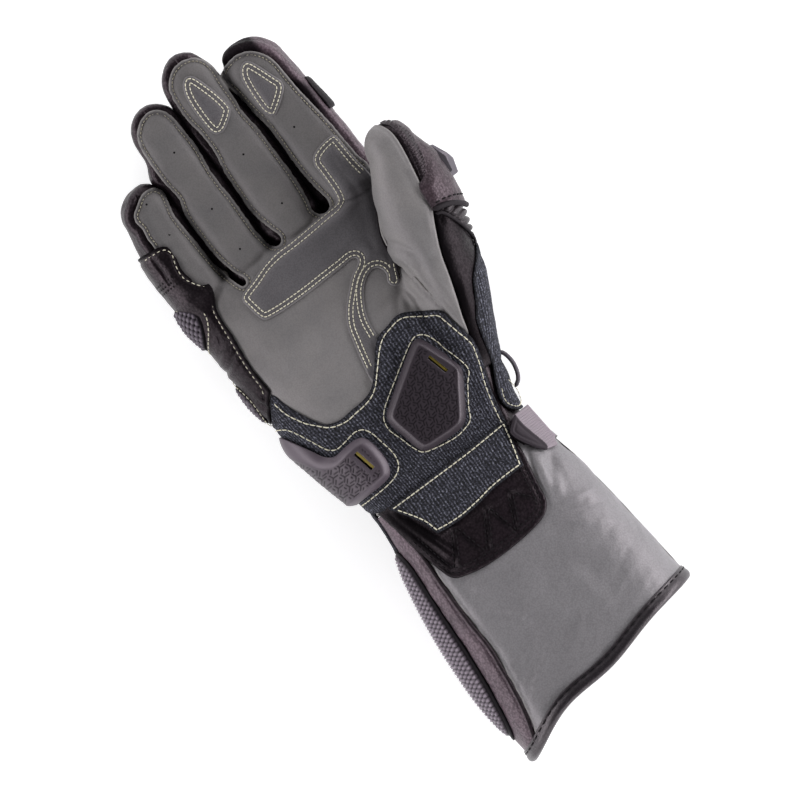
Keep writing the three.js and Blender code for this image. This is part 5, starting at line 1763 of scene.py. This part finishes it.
def strip_relief(points, distance):
    """The cloth's relief on a swelling at the wrist."""
    return cloth_relief(points, distance) + 0.9 + 0.6 * hill(points[..., 1] + 14, 14)


strip_cut = closed_line(STRIP_EDGE)
strip_turns = even(beside_thumb, 10, -0.3, 0.5, 0.6)
strip = cut_sheet("thumb_strip_cloth", beside_thumb, wrapped(strip_cut, 12), strip_turns,
                  np.arange(-36, 46, 0.65), strip_relief, wall=0.9, flip=True,
                  weave=cloth_of(beside_thumb, strip_turns, 10))
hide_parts("thumb_strip")
give(strip, heel_cloth, heel_cloth)


def beside_top(x, y):
    """The upper side of the hand, which passes into that of the thumb, as a function of the plan."""
    part = ease(y, -30, 4)
    return np.stack([x, y, body.top(x, y) * (1 - part) + np.maximum(thumb_limb.top(x, y), 0) * part], -1)


tongue_rows = rows_over([TONGUE_SEAM], beside_top, strip_relief, strip_cut)
tongue_seam = sew("thumb_strip_seam", tongue_rows, cream_thread, pitch=2.2, dash=0.86, radius=0.26)


# Wrist strap, its tab and the pull loop
# A dark strap comes round the wrist on the thumb side. It ends in a folded tab of mauve-grey rubber, a darker
# fold lying over a ribbed end, and a grey cord loop above it helps to pull the glove on.
STRAP_EDGE = [
    (31, -36), (31, -36), (92, -36), (92, -36), (92, -54.5), (92, -54.5), (39.5, -54.5), (39.5, -54.5),
    (33, -46),
]
strap_cut = closed_line(STRAP_EDGE)
strap_turns = even(body.point, -45, -0.45, 0.5, 0.8)
strap = cut_sheet("wrist_strap_band", body.point, wrapped(strap_cut, 6), strap_turns,
                  np.arange(-56, -35, 0.8), lambda p, d: 1.3 + waves(p, 91, 9, 0.3), wall=1.2, flip=True)
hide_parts("wrist_strap")
give(strap, black_skin, black_cut_and_gap_shade)
TAB_END = [
    (37.6, -34.9), (37.6, -34.9), (46.3, -34.5), (46.3, -34.5), (47.3, -43), (48.4, -51.8), (48.9, -53),
    (47.6, -54), (47, -57.2), (47, -57.2), (41.2, -55.9), (41.2, -55.9), (39.6, -48),
]
TAB_FOLD = [
    (31.9, -41), (35.6, -36.6), (38.3, -34.6), (38.3, -34.6), (38.9, -41), (41, -49), (42.2, -54.4),
    (41.2, -56), (40, -55.6), (36.8, -51.6),
]


def over_tab(x, y):
    """A gently curved plate that stands off the side of the wrist."""
    return np.stack([x, y, 42.0 - 0.5 * (x - 36) - 0.03 * (x - 36) ** 2 + 0.02 * (y + 45)], -1)


def ridged(points, distance):
    """Fine ribs 1.15 mm apart inside a rounded edge."""
    ribbing = 0.16 * np.cos(points[..., 1] / 1.15 * 2 * math.pi) * ease(distance, 0.6, 1.2)
    return ribbing - 0.4 * rim(distance, 0.6)


def fold_relief(points, distance):
    """A folded end with a well rounded edge and a fine line pressed in along it."""
    return 1.6 - 1.0 * rim(distance, 1.2) - 0.35 * hill(distance - 1.7, 0.5)


tab_rubber = plain_finish("mauve rubber", (112, 103, 110), 0.5, 1400.0, 0.05, 0.05)
tab_dark = plain_finish("dark rubber fold", (40, 35, 40), 0.62, 1400.0, 0.05, 0.08)
tab_cut = closed_line(TAB_END)
tab = plan_sheet("strap_tab_end", over_tab, tab_cut, np.arange(37, 50, 0.28), np.arange(-58, -34, 0.28),
                 ridged, wall=1.6)
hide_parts("strap_tab")
give(tab, tab_rubber, tab_rubber)
fold_cut = closed_line(TAB_FOLD)
fold = plan_sheet("strap_tab_fold", over_tab, fold_cut, np.arange(31, 43, 0.35), np.arange(-57, -34, 0.35),
                  fold_relief, wall=4.2)
give(fold, tab_dark, tab_dark)
LOOP = [
    (48.6, -7.6, 24), (50.4, -9.4, 24.6), (51.4, -14.2, 25.2), (50.8, -19, 25), (49, -22.8, 24.6),
    (46, -25, 24),
]
loop_grey = plain_finish("grey braided cord", (88, 84, 90), 0.75, 2200.0, 0.25, 0.35)
loop = cord("strap_loop_cord", smooth_line(LOOP), 1.0, loop_grey, sides=14)
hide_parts("strap_loop")


# Index finger's side guard
# The edge of a moulded guard on the finger's back shows as a small dark wing on its outer side.
INDEX_GUARD_EDGE = [(45, 143.5), (50, 143.2), (56, 136), (60, 129.5), (60, 126), (45, 126), (45, 126)]
index_guard_cut = closed_line(INDEX_GUARD_EDGE)
index_point = fingers["index"].point


def index_guard_room(points):
    """Inside the outline and between two heights."""
    return np.minimum(wrapped(index_guard_cut, 8)(points), 24 - points[..., 2])


def index_guard_relief(points, distance):
    """A rounded edge, and a swelling towards the hand."""
    return 0.3 + 0.5 * ease(distance, 0, 1.2) + 0.9 * ease(143 - points[..., 1], 0, 15)


index_turns = even(index_point, 135, -0.5, 0.5, 0.4)
index_guard = cut_sheet("index_side_guard_shell", index_point, index_guard_room, index_turns,
                        np.arange(124, 146, 0.4), index_guard_relief, wall=2.0, flip=True)
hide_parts("index_side_guard")
give(index_guard, dark_moulding_and_slot_shade, dark_moulding_and_slot_shade)


# Studio
# A pale floor under the glove and four long soft lights round it, low down, the one on the right strongest.
def pale_floor():
    """A square floor of 6 m at the height that the glove lies on, a light table that glows a little."""
    half = 3.0
    mesh = bpy.data.meshes.new("floor")
    corners = [(-half, -half, 0), (half, -half, 0), (half, half, 0), (-half, half, 0)]
    mesh.from_pydata(corners, [], [(0, 1, 2, 3)])
    paint = plain_finish("pale floor", (244, 244, 245), 0.9, 20.0, 0.01, 0.005)
    glow = paint.node_tree.nodes["Principled BSDF"]
    glow.inputs["Emission Color"].default_value = (1, 1, 1, 1)
    glow.inputs["Emission Strength"].default_value = 0.42
    made = give(add_object("floor", mesh), paint)


pale_floor()
# The picture's own turn round the vertical
TURN = math.radians(-35)


def soft_light(name, power, place):
    """A long area light, aimed at the glove's middle, at a place given in the picture's own right, up and
    out directions."""
    lamp = bpy.data.lights.new(name, "AREA")
    lamp.energy = power
    lamp.shape = "RECTANGLE"
    lamp.size, lamp.size_y = 2.4, 0.6
    made = add_object(name, lamp)
    right, up, out = place
    made.location = (right * math.cos(TURN) - up * math.sin(TURN),
                     right * math.sin(TURN) + up * math.cos(TURN), out)
    aim = Vector((0, 0, 0.02))
    made.rotation_euler = (aim - made.location).to_track_quat("-Z", "Y").to_euler()


soft_light("left light", 27.0, (-1.35, -0.45, 0.55))
soft_light("right light", 40.0, (1.35, 0.3, 0.55))
soft_light("upper light", 15.0, (-0.3, 1.4, 0.6))
soft_light("lower light", 15.0, (0.3, -1.4, 0.6))
world = bpy.data.worlds.new("studio")
world.use_nodes = True
sky = world.node_tree.nodes["Background"]
sky.inputs["Color"].default_value = (1, 1, 1, 1)
sky.inputs["Strength"].default_value = 0.1
bpy.context.scene.world = world
bpy.context.scene.view_settings.view_transform = "Standard"

lens = bpy.data.cameras.new("camera")
lens.sensor_width = 36
lens.lens = 400
CAMERA_HEIGHT = 4.03
camera = add_object("camera", lens)
camera.location = (-ZERO[0] * MM, -ZERO[1] * MM, CAMERA_HEIGHT)
camera.rotation_euler = (0, 0, TURN)
lens.clip_end = 50
bpy.context.scene.camera = camera
